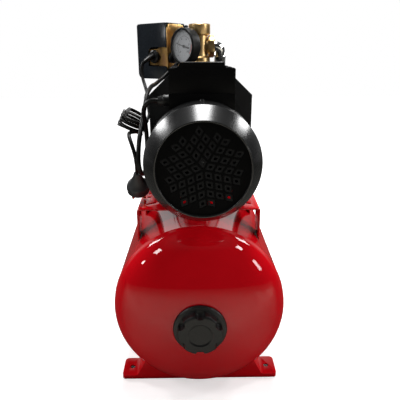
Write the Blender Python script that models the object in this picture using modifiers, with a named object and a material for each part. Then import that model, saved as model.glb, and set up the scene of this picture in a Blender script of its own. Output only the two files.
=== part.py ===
# Booster pump set: a jet pump and its motor on a horizontal pressure tank, with a five-way
# fitting, gauge, pressure switch and braided hose. Metres, +Z up, the fan end faces -Y.
import bpy
import bmesh
from math import pi, sin, cos, atan2, sqrt, radians
from mathutils import Vector, Matrix

mm = 0.001
gap = 0.3 * mm                     # running gap between touching pieces
bite = 0.3 * mm                    # how far a joined shape sinks into its neighbour

# Pressure tank
tank_radius = 135 * mm
tank_length = 332 * mm             # between the two dome seams
dome_depth = 65 * mm
shell_wall = 2 * mm
floor_clearance = 16 * mm          # under the tank
neck_radius = 50 * mm
neck_length = 8 * mm
neck_wall = 4 * mm
flange_radius = 74 * mm
flange_thickness = 6 * mm
flange_bolt_circle = 63 * mm
flange_bolt_count = 6
flange_bolt_turn = radians(18)
membrane_wall = 1.8 * mm
valve_boss_radius = 14 * mm
valve_boss_height = 6 * mm
valve_radius = 4 * mm
water_port_radius = 12.5 * mm
tank_socket_radius = 21 * mm
tank_socket_length = 16 * mm

# Valve cap
cap_radius = 39.5 * mm
cap_rim_height = 5 * mm
cap_face_radius = 32.5 * mm
cap_height = 17 * mm
cap_wall = 2.4 * mm
cap_finger_count = 6
cap_finger_radius = 7.5 * mm

# Saddle feet
foot_width = 266 * mm
foot_depth = 46 * mm
foot_height = 9 * mm
foot_sheet = 2.5 * mm
foot_inset = 6 * mm                # from the dome seam
foot_hole_inset = 15.5 * mm        # from the foot's end to the hole
foot_hole_radius = 4.6 * mm
foot_end = 27 * mm                 # flat end, outside the bend
saddle_bend_width = 20 * mm

# Pump bracket
bracket_rise = 12 * mm             # bracket's top above the top of the tank
bracket_width = 199 * mm
bracket_depth = 156 * mm
bracket_front = 46.5 * mm
bracket_sheet = 3 * mm
bracket_leg_width = 38 * mm
bracket_corner = 5 * mm
bracket_slot_length = 18 * mm
bracket_slot_width = 4.5 * mm
bracket_hole_radius = 2.8 * mm

# Motor
pump_x = 5 * mm                    # the pump stands a little off the tank's middle
shaft_height = 93.5 * mm           # above the bracket
motor_front = 0 * mm
housing_radius = 66 * mm
fin_height = 6 * mm
fin_count = 36
fin_thickness = 2.4 * mm
housing_wall = 6 * mm
housing_length = 110 * mm
shield_thickness = 8 * mm
stator_length = 68 * mm
stator_bore = 33.4 * mm
winding_length = 12 * mm
slot_count = 8
shaft_radius = 7.5 * mm
core_shaft_radius = 10 * mm
bearing_radius = 17.5 * mm
bearing_width = 11 * mm

# Fan and cowl
cowl_radius = 80 * mm
cowl_wall = 2 * mm
cowl_mouth_radius = 63.5 * mm
bezel_depth = 30.5 * mm
bezel_start = 43 * mm              # forward of the motor's front
skirt_overlap = 11 * mm            # behind the motor's front
screw_radius = 2 * mm
screw_length = 9 * mm
grille_recess = 3.5 * mm
grille_thickness = 2.6 * mm
rhombus_side = 12.3 * mm
grille_rib = 2.1 * mm
grille_field_radius = 60.5 * mm
grille_sectors = 5
grille_turn = radians(60)          # direction of the first spoke
fan_radius = 62 * mm
fan_blade_count = 7
fan_blade_width = 26 * mm
fan_blade_thickness = 2 * mm
fan_hub_radius = 14 * mm
fan_setout = 34 * mm              # front of the fan ahead of the motor

# Terminal box
box_width = 92.4 * mm
box_depth = 86 * mm
box_seam = 22.5 * mm               # joint between base and cover, above the seat on the housing
box_shoulder = 56.7 * mm           # above the seat on the housing
box_crown_rise = 7.3 * mm          # crown above the shoulder
box_crown_width = 61 * mm
box_wall = 2.4 * mm

# Pump body
adaptor_length = 32 * mm
adaptor_plate = 10 * mm
rib_count = 8
casing_half_width = 87 * mm
casing_shoulder = 76 * mm          # side corners, above the shaft
casing_crown = 115 * mm            # top, above the shaft
casing_crown_width = 92 * mm
casing_length = 112 * mm
casing_nose = 16 * mm
casing_wall = 9 * mm
chamber_radius = 73 * mm
casing_bolt_radius = 3 * mm
casing_bolt_depth = 14 * mm
casing_foot_width = 170 * mm
casing_foot_depth = 38 * mm
casing_foot_thickness = 11 * mm
foot_bolt_spacing = 146 * mm
bolt_radius = 4 * mm
bolt_head_width = 13 * mm
suction_rise = 34 * mm             # suction port above the shaft
port_radius = 15 * mm
port_boss_radius = 23 * mm
suction_boss_length = 22 * mm
outlet_boss_height = 10 * mm
outlet_setback = 94 * mm           # outlet port behind the casing's front face
seal_pocket_radius = 14.5 * mm
seal_pocket_depth = 9 * mm
impeller_radius = 56 * mm
impeller_width = 14 * mm
impeller_vanes = 6

# Five-way fitting, at the outlet port
fitting_port_height = 30 * mm      # side ports above the casing's outlet boss
column_radius = 15.5 * mm
collar_radius = 19.8 * mm
collar_length = 20 * mm
fitting_top = 68.5 * mm            # above the casing's outlet boss
hose_arm = 22 * mm                 # reach of the fitting's right port
gauge_arm = 19.5 * mm
nut_width = 34 * mm
nut_length = 11.5 * mm
hose_radius = 9.3 * mm
ferrule_radius = 11 * mm
elbow_radius = 9 * mm
ferrule_length = 24 * mm
ferrule_floor = 2 * mm

# Gauge
gauge_turn = radians(47)           # from straight ahead, towards the left
gauge_radius = 31 * mm
gauge_depth = 21 * mm
gauge_distance = 45 * mm           # front rim from the column's axis
gauge_rim = 2 * mm

# Pressure switch, turned away to the rear left
switch_turn = radians(40)
switch_distance = 58 * mm          # its port face from the column's axis
switch_base_depth = 24 * mm
switch_base_width = 50 * mm
switch_base_top = 41 * mm          # above the port's axis
switch_base_bottom = 45 * mm       # below the port's axis
switch_base_corner = 11 * mm
switch_cover_depth = 56 * mm
switch_cover_width = 54 * mm
switch_top = 43 * mm
switch_bottom = 59.5 * mm
switch_wall = 2 * mm
switch_neck_radius = 6 * mm
gland_radius = 12 * mm
gland_neck = 8 * mm
switch_arm = 24 * mm               # reach of the fitting's left port
cord_radius = 3 * mm
lead_radius = 3.5 * mm
plug_length = 42 * mm

# Worked-out places
tank_axis = floor_clearance + tank_radius
foot_hole_spacing = foot_width - 2 * foot_hole_inset
saddle_half_width = foot_width / 2 - foot_end - saddle_bend_width
bracket_top = tank_axis + tank_radius + bracket_rise
shaft_z = bracket_top + shaft_height
pad_height = housing_radius        # seat of the terminal box, above the shaft
seam_z = shaft_z + pad_height + box_seam
shoulder_z = shaft_z + pad_height + box_shoulder
crown_z = shoulder_z + box_crown_rise
housing_front = motor_front + shield_thickness + gap
housing_back = housing_front + housing_length
adaptor_front = housing_back + gap
adaptor_back = adaptor_front + adaptor_length
casing_front = adaptor_back + gap
casing_back = casing_front + casing_length
casing_top = shaft_z + casing_crown
column_y = casing_front + outlet_setback
outlet_face = casing_top + outlet_boss_height
port_z = outlet_face + fitting_port_height
dome_front = -dome_depth
neck_back = tank_length + dome_depth + neck_length
membrane_rim = neck_back + gap
cover_flange_front = membrane_rim + membrane_wall + gap
cover_flange_back = cover_flange_front + flange_thickness
elbow_y = cover_flange_back + tank_socket_length + 2 * gap + ferrule_radius
set_front = dome_front - cap_height
set_back = elbow_y + ferrule_radius
seam_y = -(set_front + set_back) / 2      # front seam of the tank in the finished model


# Scene, collections and materials

for old in list(bpy.data.objects):
    bpy.data.objects.remove(old, do_unlink=True)

part_collection = bpy.data.collections.new("booster_pump_set")
cutter_collection = bpy.data.collections.new("cutters")
bpy.context.scene.collection.children.link(part_collection)
bpy.context.scene.collection.children.link(cutter_collection)

layout = bpy.data.objects.new("layout", None)
layout.location = (0, seam_y, 0)
part_collection.objects.link(layout)
switch_frame = bpy.data.objects.new("switch_frame", None)
switch_frame.parent = layout
switch_frame.location = (pump_x, column_y, port_z)
switch_frame.rotation_euler = (0, 0, -switch_turn)
part_collection.objects.link(switch_frame)
frames = [layout]                   # new pieces are placed in the last of these


def material(name, color, roughness, metallic=0.0):
    made = bpy.data.materials.get(name)
    if made is None:
        made = bpy.data.materials.new(name)
        made.use_nodes = True
        shader = made.node_tree.nodes["Principled BSDF"]
        shader.inputs["Base Color"].default_value = (*color, 1)
        shader.inputs["Roughness"].default_value = roughness
        shader.inputs["Metallic"].default_value = metallic
    return made


red_paint = material("red_paint", (0.55, 0.01, 0.02), 0.15)
black_paint = material("black_paint", (0.02, 0.02, 0.022), 0.35)
black_plastic = material("black_plastic", (0.02, 0.02, 0.02), 0.3)
grey_plastic = material("grey_plastic", (0.12, 0.12, 0.12), 0.5)
brass = material("brass", (0.75, 0.58, 0.32), 0.3, 1)
chrome = material("chrome", (0.75, 0.75, 0.76), 0.12, 1)
steel = material("steel", (0.5, 0.5, 0.52), 0.3, 1)
passivated = material("passivated_steel", (0.72, 0.6, 0.4), 0.35, 1)
rubber = material("rubber", (0.03, 0.03, 0.03), 0.7)
copper = material("copper", (0.7, 0.3, 0.15), 0.35, 1)
white_dial = material("white_dial", (0.85, 0.86, 0.86), 0.4)
glass = material("glass", (0.9, 0.92, 0.92), 0.05)
carbon = material("carbon", (0.05, 0.05, 0.06), 0.4)


# Modelling helpers

def place(obj, location, finish):
    obj.parent = frames[-1]
    obj.location = location
    obj.data.materials.clear()
    if finish:
        obj.data.materials.append(finish)
    return obj


def add(name, mesh_or_curve, location=(0, 0, 0), finish=None, cutter=False):
    obj = bpy.data.objects.new(name, mesh_or_curve)
    (cutter_collection if cutter else part_collection).objects.link(obj)
    if cutter:
        obj.hide_render = True
        obj.display_type = 'WIRE'
    return place(obj, location, finish)


def aim(obj, direction):
    # Turns the object's own +Z towards a direction.
    obj.rotation_euler = Vector(direction).to_track_quat('Z', 'Y').to_euler()
    return obj


def facets(radius):
    # Flat sides round a circle: more on a larger one, always a multiple of four.
    return max(8, 4 * round(0.9 + 0.64 * sqrt(radius / mm)))


def turned(name, profile, location, direction, finish=None, cutter=False):
    # A revolved piece: (radius, height) pairs that run down the outer side.
    steps = facets(max(r for r, h in profile))
    mesh = bpy.data.meshes.new(name)
    points = [(r, 0, h) for r, h in profile]
    pairs = [(i, (i + 1) % len(points)) for i in range(len(points))]
    edges = [(i, j) for i, j in pairs if profile[i][0] > 0 or profile[j][0] > 0]
    mesh.from_pydata(points, edges, [])
    obj = add(name, mesh, location, finish, cutter)
    screw = obj.modifiers.new("Turn", 'SCREW')
    screw.steps = steps
    screw.render_steps = steps
    screw.use_merge_vertices = True
    screw.merge_threshold = 0.00002
    screw.use_smooth_shade = True
    return aim(obj, direction)


def ring(name, outer, inner, length, location, direction, finish=None, cutter=False):
    profile = [(inner, length), (outer, length), (outer, 0), (inner, 0)]
    return turned(name, profile, location, direction, finish, cutter)


def rod(name, radius, length, location, direction, finish=None, steps=None, cutter=False):
    steps = steps or facets(radius)
    mesh = bpy.data.meshes.new(name)
    shape = bmesh.new()
    bmesh.ops.create_cone(shape, cap_ends=True, segments=steps, radius1=radius, radius2=radius,
                          depth=length, matrix=Matrix.Translation((0, 0, length / 2)))
    shape.to_mesh(mesh)
    shape.free()
    return aim(add(name, mesh, location, finish, cutter), direction)


def block(name, low, high, finish=None, cutter=False):
    mesh = bpy.data.meshes.new(name)
    shape = bmesh.new()
    size = Vector(high) - Vector(low)
    bmesh.ops.create_cube(shape, size=1, matrix=Matrix.Diagonal((*size, 1)))
    shape.to_mesh(mesh)
    shape.free()
    return add(name, mesh, (Vector(low) + Vector(high)) / 2, finish, cutter)


def outline(name, loops, thickness, location, turn=(0, 0, 0), finish=None, cutter=False):
    # A flat outline with holes, extruded and welded into one solid.
    curve = bpy.data.curves.new(name, 'CURVE')
    curve.dimensions = '2D'
    curve.fill_mode = 'BOTH'
    curve.extrude = thickness / 2
    for loop in loops:
        spline = curve.splines.new('POLY')
        spline.points.add(len(loop) - 1)
        for point, (x, y) in zip(spline.points, loop):
            point.co = (x, y, 0, 1)
        spline.use_cyclic_u = True
    flat = bpy.data.objects.new(name + "_outline", curve)
    bpy.context.scene.collection.objects.link(flat)
    bpy.context.view_layer.update()
    mesh = bpy.data.meshes.new_from_object(flat.evaluated_get(bpy.context.evaluated_depsgraph_get()))
    bpy.data.objects.remove(flat, do_unlink=True)
    mesh.name = name
    weld(mesh)
    obj = add(name, mesh, location, finish, cutter)
    obj.rotation_euler = turn
    return obj


upright = (pi / 2, 0, 0)            # an outline drawn in X and Z
sideways = (pi / 2, 0, pi / 2)      # an outline drawn in Y and Z


def weld(mesh):
    shape = bmesh.new()
    shape.from_mesh(mesh)
    bmesh.ops.remove_doubles(shape, verts=shape.verts, dist=0.00001)
    bmesh.ops.recalc_face_normals(shape, faces=shape.faces)
    shape.to_mesh(mesh)
    shape.free()


def boolean(target, other, operation):
    modifier = target.modifiers.new(operation.title(), 'BOOLEAN')
    modifier.operation = operation
    modifier.object = other
    modifier.solver = 'EXACT'
    if other.name not in cutter_collection.objects:
        part_collection.objects.unlink(other)
        cutter_collection.objects.link(other)
        other.hide_render = True
        other.display_type = 'WIRE'
    return target


def cut(target, *others):
    for other in others:
        boolean(target, other, 'DIFFERENCE')
    return target


def join(target, *others):
    for other in others:
        boolean(target, other, 'UNION')
    return target


def group(name, pieces, finish):
    # Several separate solids of one kind in one object.
    bpy.context.view_layer.update()
    shape = bmesh.new()
    for piece in pieces:
        evaluated = piece.evaluated_get(bpy.context.evaluated_depsgraph_get())
        mesh = bpy.data.meshes.new_from_object(evaluated)
        mesh.transform(layout.matrix_world.inverted() @ piece.matrix_world)
        shape.from_mesh(mesh)
        bpy.data.meshes.remove(mesh)
        bpy.data.objects.remove(piece, do_unlink=True)
    mesh = bpy.data.meshes.new(name)
    shape.to_mesh(mesh)
    shape.free()
    return add(name, mesh, (0, 0, 0), finish)


def hexagon(width):
    corner = width / sqrt(3)
    return [(corner * cos(pi / 3 * i + pi / 6), corner * sin(pi / 3 * i + pi / 6)) for i in range(6)]


def circle(radius, steps=None):
    steps = steps or facets(radius)
    return [(radius * cos(2 * pi * i / steps), radius * sin(2 * pi * i / steps)) for i in range(steps)]


def arc(centre, radius, start, end, steps):
    # Points round part of a circle, angles in degrees.
    turn = [radians(start + (end - start) * i / steps) for i in range(steps + 1)]
    return [(centre[0] + radius * cos(a), centre[1] + radius * sin(a)) for a in turn]


def hex_bolt(name, location, direction, shank_radius, head_width, grip, nut=True):
    # Head on the location's face, shank along the direction, nut on the far side.
    head = 0.35 * head_width
    along = Vector(direction).normalized()
    start = Vector(location)
    bolt = outline(name, [hexagon(head_width)], head, start - along * (head / 2))
    aim(bolt, direction)
    reach = grip + (head if nut else 0)
    shank = rod(name + "_shank", shank_radius, reach + head / 2, start - along * (head / 2), direction)
    join(bolt, shank)
    if nut:
        end = outline(name + "_nut", [hexagon(head_width)], head * 0.9,
                      start + along * (grip + head * 0.45))
        aim(end, direction)
        join(bolt, end)
    return bolt


def smooth_path(points, per_span=3):
    # Catmull-Rom curve through the points.
    path = []
    spots = [Vector(p) for p in points]
    ends = [spots[0] * 2 - spots[1]] + spots + [spots[-1] * 2 - spots[-2]]
    for i in range(1, len(ends) - 2):
        a, b, c, d = ends[i - 1:i + 3]
        for k in range(per_span):
            t = k / per_span
            path.append(0.5 * ((2 * b) + (c - a) * t + (2 * a - 5 * b + 4 * c - d) * t ** 2
                               + (3 * b - a - 3 * c + d) * t ** 3))
    return path + [spots[-1]]


def tube(name, path, radius, finish, sides=2):
    curve = bpy.data.curves.new(name, 'CURVE')
    curve.dimensions = '3D'
    curve.bevel_depth = radius
    curve.bevel_resolution = sides
    curve.use_fill_caps = True
    spline = curve.splines.new('POLY')
    spline.points.add(len(path) - 1)
    for point, spot in zip(spline.points, path):
        point.co = (*spot, 1)
    return add(name, curve, (0, 0, 0), finish)


def to_solid(obj):
    # Makes a welded mesh of a curve, so that it can be cut or joined.
    bpy.context.view_layer.update()
    mesh = bpy.data.meshes.new_from_object(obj.evaluated_get(bpy.context.evaluated_depsgraph_get()))
    name = obj.name
    finish = obj.data.materials[0] if obj.data.materials else None
    location = obj.location.copy()
    bpy.data.objects.remove(obj, do_unlink=True)
    weld(mesh)
    return add(name, mesh, location, finish)


def lofted(name, section, stations, finish=None, cutter=False):
    # A section drawn in X and Z, carried along +Y; each station gives y, width scale, height scale.
    mesh = bpy.data.meshes.new(name)
    shape = bmesh.new()
    first_y, first_w, first_h = stations[0]
    loop = [shape.verts.new((x * first_w, first_y, z * first_h)) for x, z in section]
    face = shape.faces.new(loop)
    for (y0, w0, h0), (y1, w1, h1) in zip(stations, stations[1:]):
        made = bmesh.ops.extrude_face_region(shape, geom=[face])
        verts = [item for item in made["geom"] if isinstance(item, bmesh.types.BMVert)]
        for vert in verts:
            vert.co = (vert.co.x / w0 * w1, y1, vert.co.z / h0 * h1)
        new_face = [item for item in made["geom"] if isinstance(item, bmesh.types.BMFace)][0]
        if face.is_valid and (y0, w0, h0) != stations[0]:
            shape.faces.remove(face)
        face = new_face
    bmesh.ops.recalc_face_normals(shape, faces=shape.faces)
    shape.to_mesh(mesh)
    shape.free()
    return add(name, mesh, (0, 0, 0), finish, cutter)


forward = (0, -1, 0)
backward = (0, 1, 0)
up = (0, 0, 1)
down = (0, 0, -1)
left = (-1, 0, 0)
right = (1, 0, 0)


def dome_y(radius):
    # Depth of the front dome ahead of its seam, at a radius.
    return dome_depth * sqrt(1 - (radius / tank_radius) ** 2)


# Tank

def dome_profile(radius_from, radius_to, steps, wall=0.0):
    # (radius, depth ahead of the seam) along a dome, from the smaller radius to the larger.
    outer = tank_radius - wall
    depth = dome_depth - wall
    start = math_angle(radius_from / outer)
    end = math_angle(radius_to / outer)
    turn = [start + (end - start) * i / steps for i in range(steps + 1)]
    return [(outer * sin(a), depth * cos(a)) for a in turn]


def math_angle(share):
    return pi / 2 if share >= 1 else atan2(share, sqrt(1 - share * share))


def tank_shell():
    hole = valve_radius + gap
    boss_top = dome_depth + valve_boss_height
    front = dome_profile(valve_boss_radius, tank_radius, 7)
    rear = [(r, -tank_length - d) for r, d in reversed(dome_profile(neck_radius, tank_radius, 5))]
    ring_front = -neck_back + flange_thickness
    outside = [(hole, boss_top), (valve_boss_radius, boss_top)] + front + rear
    outside += [(neck_radius, ring_front), (flange_radius, ring_front), (flange_radius, -neck_back)]
    inner_neck = neck_radius - neck_wall
    inside_rear = [(r, -tank_length - d) for r, d in
                   dome_profile(inner_neck, tank_radius - shell_wall, 3, shell_wall)]
    inside_front = list(reversed(dome_profile(hole + 0.4 * mm, tank_radius - shell_wall, 4, shell_wall)))
    inside = [(inner_neck, -neck_back)] + inside_rear + inside_front
    shell = turned("tank_shell", outside + inside, (0, 0, tank_axis), forward, red_paint)
    holes = [rod("flange_hole", bolt_radius + gap, 4 * flange_thickness,
                 (x, neck_back - 2 * flange_thickness, z), backward, cutter=True)
             for x, z in flange_bolt_places()]
    return cut(shell, *holes)


def flange_bolt_places():
    places = []
    for i in range(flange_bolt_count):
        a = flange_bolt_turn + 2 * pi * i / flange_bolt_count
        places.append((flange_bolt_circle * cos(a), tank_axis + flange_bolt_circle * sin(a)))
    return places


def bladder():
    # Cup-shaped membrane, its rim clamped between the flanges.
    neck = neck_radius - neck_wall - 1.2 * mm
    belly = tank_radius - shell_wall - 12 * mm
    rim = flange_bolt_circle - 6 * mm
    back = -membrane_rim
    shape = [(0, -24 * mm), (0.7 * belly, -36 * mm), (belly, -100 * mm), (belly, -tank_length + 60 * mm),
             (neck + 12 * mm, -tank_length - 24 * mm), (neck, -tank_length - 46 * mm)]
    outside = shape + [(neck, back), (rim, back), (rim, back - membrane_wall)]
    inside = []
    for r, h in reversed(shape):
        lowered = h - membrane_wall if h > -90 * mm else h
        inside.append((max(r - membrane_wall, 0), lowered))
    profile = outside + [(neck - membrane_wall, back - membrane_wall)] + inside
    return turned("bladder", profile, (0, 0, tank_axis), forward, rubber)


def tank_flange():
    socket_back = flange_thickness + tank_socket_length
    profile = [(water_port_radius, 0), (flange_radius, 0), (flange_radius, -flange_thickness),
               (tank_socket_radius + 2 * mm, -flange_thickness),
               (tank_socket_radius, -flange_thickness - 2 * mm),
               (tank_socket_radius, -socket_back), (water_port_radius, -socket_back)]
    plate = turned("tank_flange", profile, (0, cover_flange_front, tank_axis), forward, steel)
    grip = cover_flange_back - neck_back + flange_thickness
    for x, z in flange_bolt_places():
        join(plate, hex_bolt("flange_bolt", (x, cover_flange_back - bite, z), forward, bolt_radius,
                             bolt_head_width, grip, nut=False))
    return plate


def air_valve():
    # Valve stem through the front boss, with its hexagonal nut outside.
    boss_face = dome_depth + valve_boss_height
    stem = turned("air_valve", [(0, boss_face + 5 * mm), (3 * mm, boss_face + 5 * mm),
                                (3 * mm, boss_face + 1.5 * mm),
                                (valve_radius, boss_face + 1.5 * mm), (valve_radius, dome_depth - 6 * mm),
                                (7 * mm, dome_depth - 6 * mm), (7 * mm, dome_depth - 9 * mm),
                                (0, dome_depth - 9 * mm)],
                  (0, 0, tank_axis), forward, brass)
    nut = outline("air_valve_nut", [hexagon(11 * mm)], 3 * mm,
                  (0, -boss_face - gap - 1.5 * mm, tank_axis), upright)
    return join(stem, nut)


def valve_cap():
    # Cup over the valve, with finger recesses round its raised face.
    seat = dome_y(cap_radius - cap_wall) + gap
    top = dome_depth + cap_height
    shoulder = seat + cap_rim_height
    inner_rim = cap_radius - cap_wall
    cavity = cap_face_radius - cap_finger_radius - cap_wall
    grip = valve_boss_radius + gap
    profile = [(0, top - 1.5 * mm), (0.5 * cap_face_radius, top - 1.5 * mm),
               (0.56 * cap_face_radius, top),
               (cap_face_radius - 2 * mm, top), (cap_face_radius, top - 2 * mm),
               (cap_face_radius + 0.6 * mm, shoulder + 1 * mm), (cap_radius - 1 * mm, shoulder),
               (cap_radius, shoulder - 1.4 * mm), (cap_radius, seat), (inner_rim, seat),
               (inner_rim, shoulder - cap_wall), (cavity, shoulder - cap_wall),
               (cavity, top - cap_wall - 2 * mm),
               (grip + 2.2 * mm, top - cap_wall - 2 * mm), (grip + 2.2 * mm, dome_depth + 1 * mm),
               (grip, dome_depth + 1 * mm), (grip, top - cap_wall - 2 * mm), (0, top - cap_wall - 2 * mm)]
    cap = turned("valve_cap", profile, (0, 0, tank_axis), forward, black_plastic)
    for i in range(cap_finger_count):
        a = pi / 2 + 2 * pi * i / cap_finger_count
        x = (cap_face_radius + 1 * mm) * cos(a)
        z = tank_axis + (cap_face_radius + 1 * mm) * sin(a)
        cut(cap, rod("cap_finger", cap_finger_radius, 20 * mm, (x, -shoulder - 1.2 * mm, z), forward,
                     cutter=True))
    return cap


def saddle_point(x, radius):
    return tank_axis - sqrt(radius ** 2 - x ** 2)


def foot(name, front):
    # Pressed tray: flat ends with a bolt hole, ears that rise to a saddle for the tank.
    radius = tank_radius + gap
    half = foot_width / 2
    ear = saddle_point(saddle_half_width, radius)
    bend = saddle_half_width + saddle_bend_width

    def top_line(drop, inset):
        step_count = 12
        reach = saddle_half_width - 0.6 * inset
        across = [reach * (1 - 2 * i / step_count) for i in range(step_count + 1)]
        saddle = [(x, saddle_point(x, radius + drop)) for x in across]
        rise = [(half - inset, foot_height - drop), (bend + 4 * mm - inset, foot_height - drop),
                (bend - inset, foot_height + 2 * mm - drop),
                (saddle_half_width + 4 * mm - inset, ear - 5 * mm - drop),
                (saddle_half_width + 1 * mm - inset, ear - 1 * mm - drop)]
        return rise + saddle + [(-x, z) for x, z in reversed(rise)]

    outside = [(half, 0)] + top_line(0, 0) + [(-half, 0)]
    below = -4 * mm
    inner_half = half - foot_sheet
    inside = [(inner_half, below)] + top_line(foot_sheet, foot_sheet) + [(-inner_half, below)]
    tray = outline(name, [outside], foot_depth, (0, front + foot_depth / 2, 0), upright, red_paint)
    hollow = outline(name + "_hollow", [inside], foot_depth - 2 * foot_sheet,
                     (0, front + foot_depth / 2, 0), upright, cutter=True)
    cut(tray, hollow)
    for side in (-1, 1):
        cut(tray, rod(name + "_hole", foot_hole_radius, 4 * foot_height,
                      (side * foot_hole_spacing / 2, front + foot_depth / 2, -foot_height), up,
                      cutter=True))
    return tray


def pump_bracket():
    # Inverted U of sheet, four legs that stand on the tank.
    half = bracket_width / 2
    inner = half - bracket_sheet
    under = bracket_top - bracket_sheet
    bend = bracket_corner
    bottom = tank_axis + 60 * mm
    section = [(half, bottom)] + arc((half - bend, bracket_top - bend), bend, 0, 90, 4)
    section += arc((-half + bend, bracket_top - bend), bend, 90, 180, 4)
    section += [(-half, bottom), (-inner, bottom)]
    inner_bend = bend - bracket_sheet
    section += arc((-inner + inner_bend, under - inner_bend), inner_bend, 180, 90, 3)
    section += arc((inner - inner_bend, under - inner_bend), inner_bend, 90, 0, 3) + [(inner, bottom)]
    middle = bracket_front + bracket_depth / 2
    sheet = outline("pump_bracket", [section], bracket_depth, (0, middle, 0), upright, red_paint)
    tank_cutter = rod("tank_space", tank_radius + gap, tank_length, (0, 0, tank_axis), backward,
                      steps=112, cutter=True)
    window = block("bracket_window", (-bracket_width, bracket_front + bracket_leg_width, bottom - 0.01),
                   (bracket_width, bracket_front + bracket_depth - bracket_leg_width,
                    under - 8 * mm), cutter=True)
    cut(sheet, tank_cutter, window)
    for side in (-1, 1):
        slot_turn = side * radians(31)
        ends = []
        flat = bracket_slot_length / 2 - bracket_slot_width / 2
        for end in (-1, 1):
            ends += [(end * flat + bracket_slot_width / 2 * cos(radians(a)),
                      bracket_slot_width / 2 * sin(radians(a)))
                     for a in range(-90 if end == 1 else 90, 91 if end == 1 else 271, 30)]
        slot_place = (side * (half - 21 * mm), bracket_front + 27 * mm, bracket_top)
        cut(sheet, outline("bracket_slot", [ends], 6 * bracket_sheet, slot_place, (0, 0, -slot_turn),
                           cutter=True))
        for step in (60 * mm, 80 * mm):
            cut(sheet, rod("bracket_hole", bracket_hole_radius, 6 * bracket_sheet,
                           (side * (half - 15 * mm), bracket_front + step,
                            bracket_top - 3 * bracket_sheet), up, cutter=True))
        hole_place = (pump_x + side * foot_bolt_spacing / 2, casing_foot_middle(),
                      bracket_top - 3 * bracket_sheet)
        cut(sheet, rod("mounting_hole", bolt_radius + gap, 6 * bracket_sheet, hole_place, up,
                       cutter=True))
    return sheet


def casing_foot_middle():
    return casing_front + 4 * mm + casing_foot_depth / 2


# Motor

def motor_axis(y):
    return (pump_x, y, shaft_z)


def motor_housing():
    # Finned extrusion with a flat pad on top for the terminal box.
    tip = housing_radius + fin_height
    pad_angle = math_angle(sqrt(1 - (pad_height / tip) ** 2)) + radians(2)
    half_fin = fin_thickness / tip / 2
    section = []
    for i in range(fin_count):
        a = 2 * pi * (i + 0.5) / fin_count + pi / 2
        from_top = abs((a - pi / 2 + pi) % (2 * pi) - pi)
        if from_top < pad_angle + half_fin:
            continue
        section += [(housing_radius, a - 1.3 * half_fin), (tip, a - half_fin), (tip, a + half_fin),
                    (housing_radius, a + 1.3 * half_fin)]
    loop = [(r * cos(a), r * sin(a)) for r, a in section]
    pad = tip * sin(pad_angle)
    loop += [(pad, pad_height - 5 * mm), (pad, pad_height), (-pad, pad_height),
             (-pad, pad_height - 5 * mm)]
    bore = circle(housing_radius - housing_wall, facets(housing_radius))
    return outline("motor_housing", [sorted_round(loop), bore], housing_length,
                   motor_axis(housing_front + housing_length / 2), upright, black_paint)


def sorted_round(loop):
    return sorted(loop, key=lambda p: atan2(p[1], p[0]))


def fan_end_shield():
    seat = bearing_radius + gap
    profile = [(shaft_radius + 3 * mm, 6 * mm), (seat + 5 * mm, 6 * mm), (seat + 5 * mm, 0),
               (housing_radius - 4 * mm, 0), (housing_radius, -3 * mm),
               (housing_radius, -shield_thickness), (seat + 5 * mm, -shield_thickness),
               (seat, -shield_thickness), (seat, 3.5 * mm), (shaft_radius + 3 * mm, 3.5 * mm)]
    shield = turned("fan_end_shield", profile, motor_axis(motor_front), forward, black_paint)
    ear_from = housing_radius - 12 * mm
    ear_to = cowl_radius - cowl_wall - 1.2 * mm
    for i in range(4):
        a = pi / 2 * i
        ear = block("shield_ear", (ear_from, -7 * mm, -shield_thickness + 1 * mm),
                    (ear_to, 7 * mm, -1 * mm))
        ear.location = (0, 0, 0)
        ear.data.transform(Matrix.Translation(((ear_from + ear_to) / 2, 0, -shield_thickness / 2)))
        ear.data.transform(Matrix.Rotation(a, 4, 'Z'))
        ear.location = motor_axis(motor_front)
        aim(ear, forward)
        join(shield, ear)
    for direction in screw_directions():
        hole_start = screw_line(direction, cowl_radius - screw_length - 1 * mm)
        cut(shield, rod("shield_screw_hole", screw_radius + gap, screw_length + 1 * mm, hole_start,
                        direction, cutter=True))
    return shield


def bearing(name, y):
    return ring(name, bearing_radius, shaft_radius + gap, bearing_width, motor_axis(y), backward)


def motor_bearings():
    bearing("front_bearing", motor_front - 6 * mm + 2.5 * mm + gap)
    bearing("rear_bearing", adaptor_front + 4 * mm)


def stator_start():
    return housing_front + (housing_length - stator_length) / 2


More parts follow.
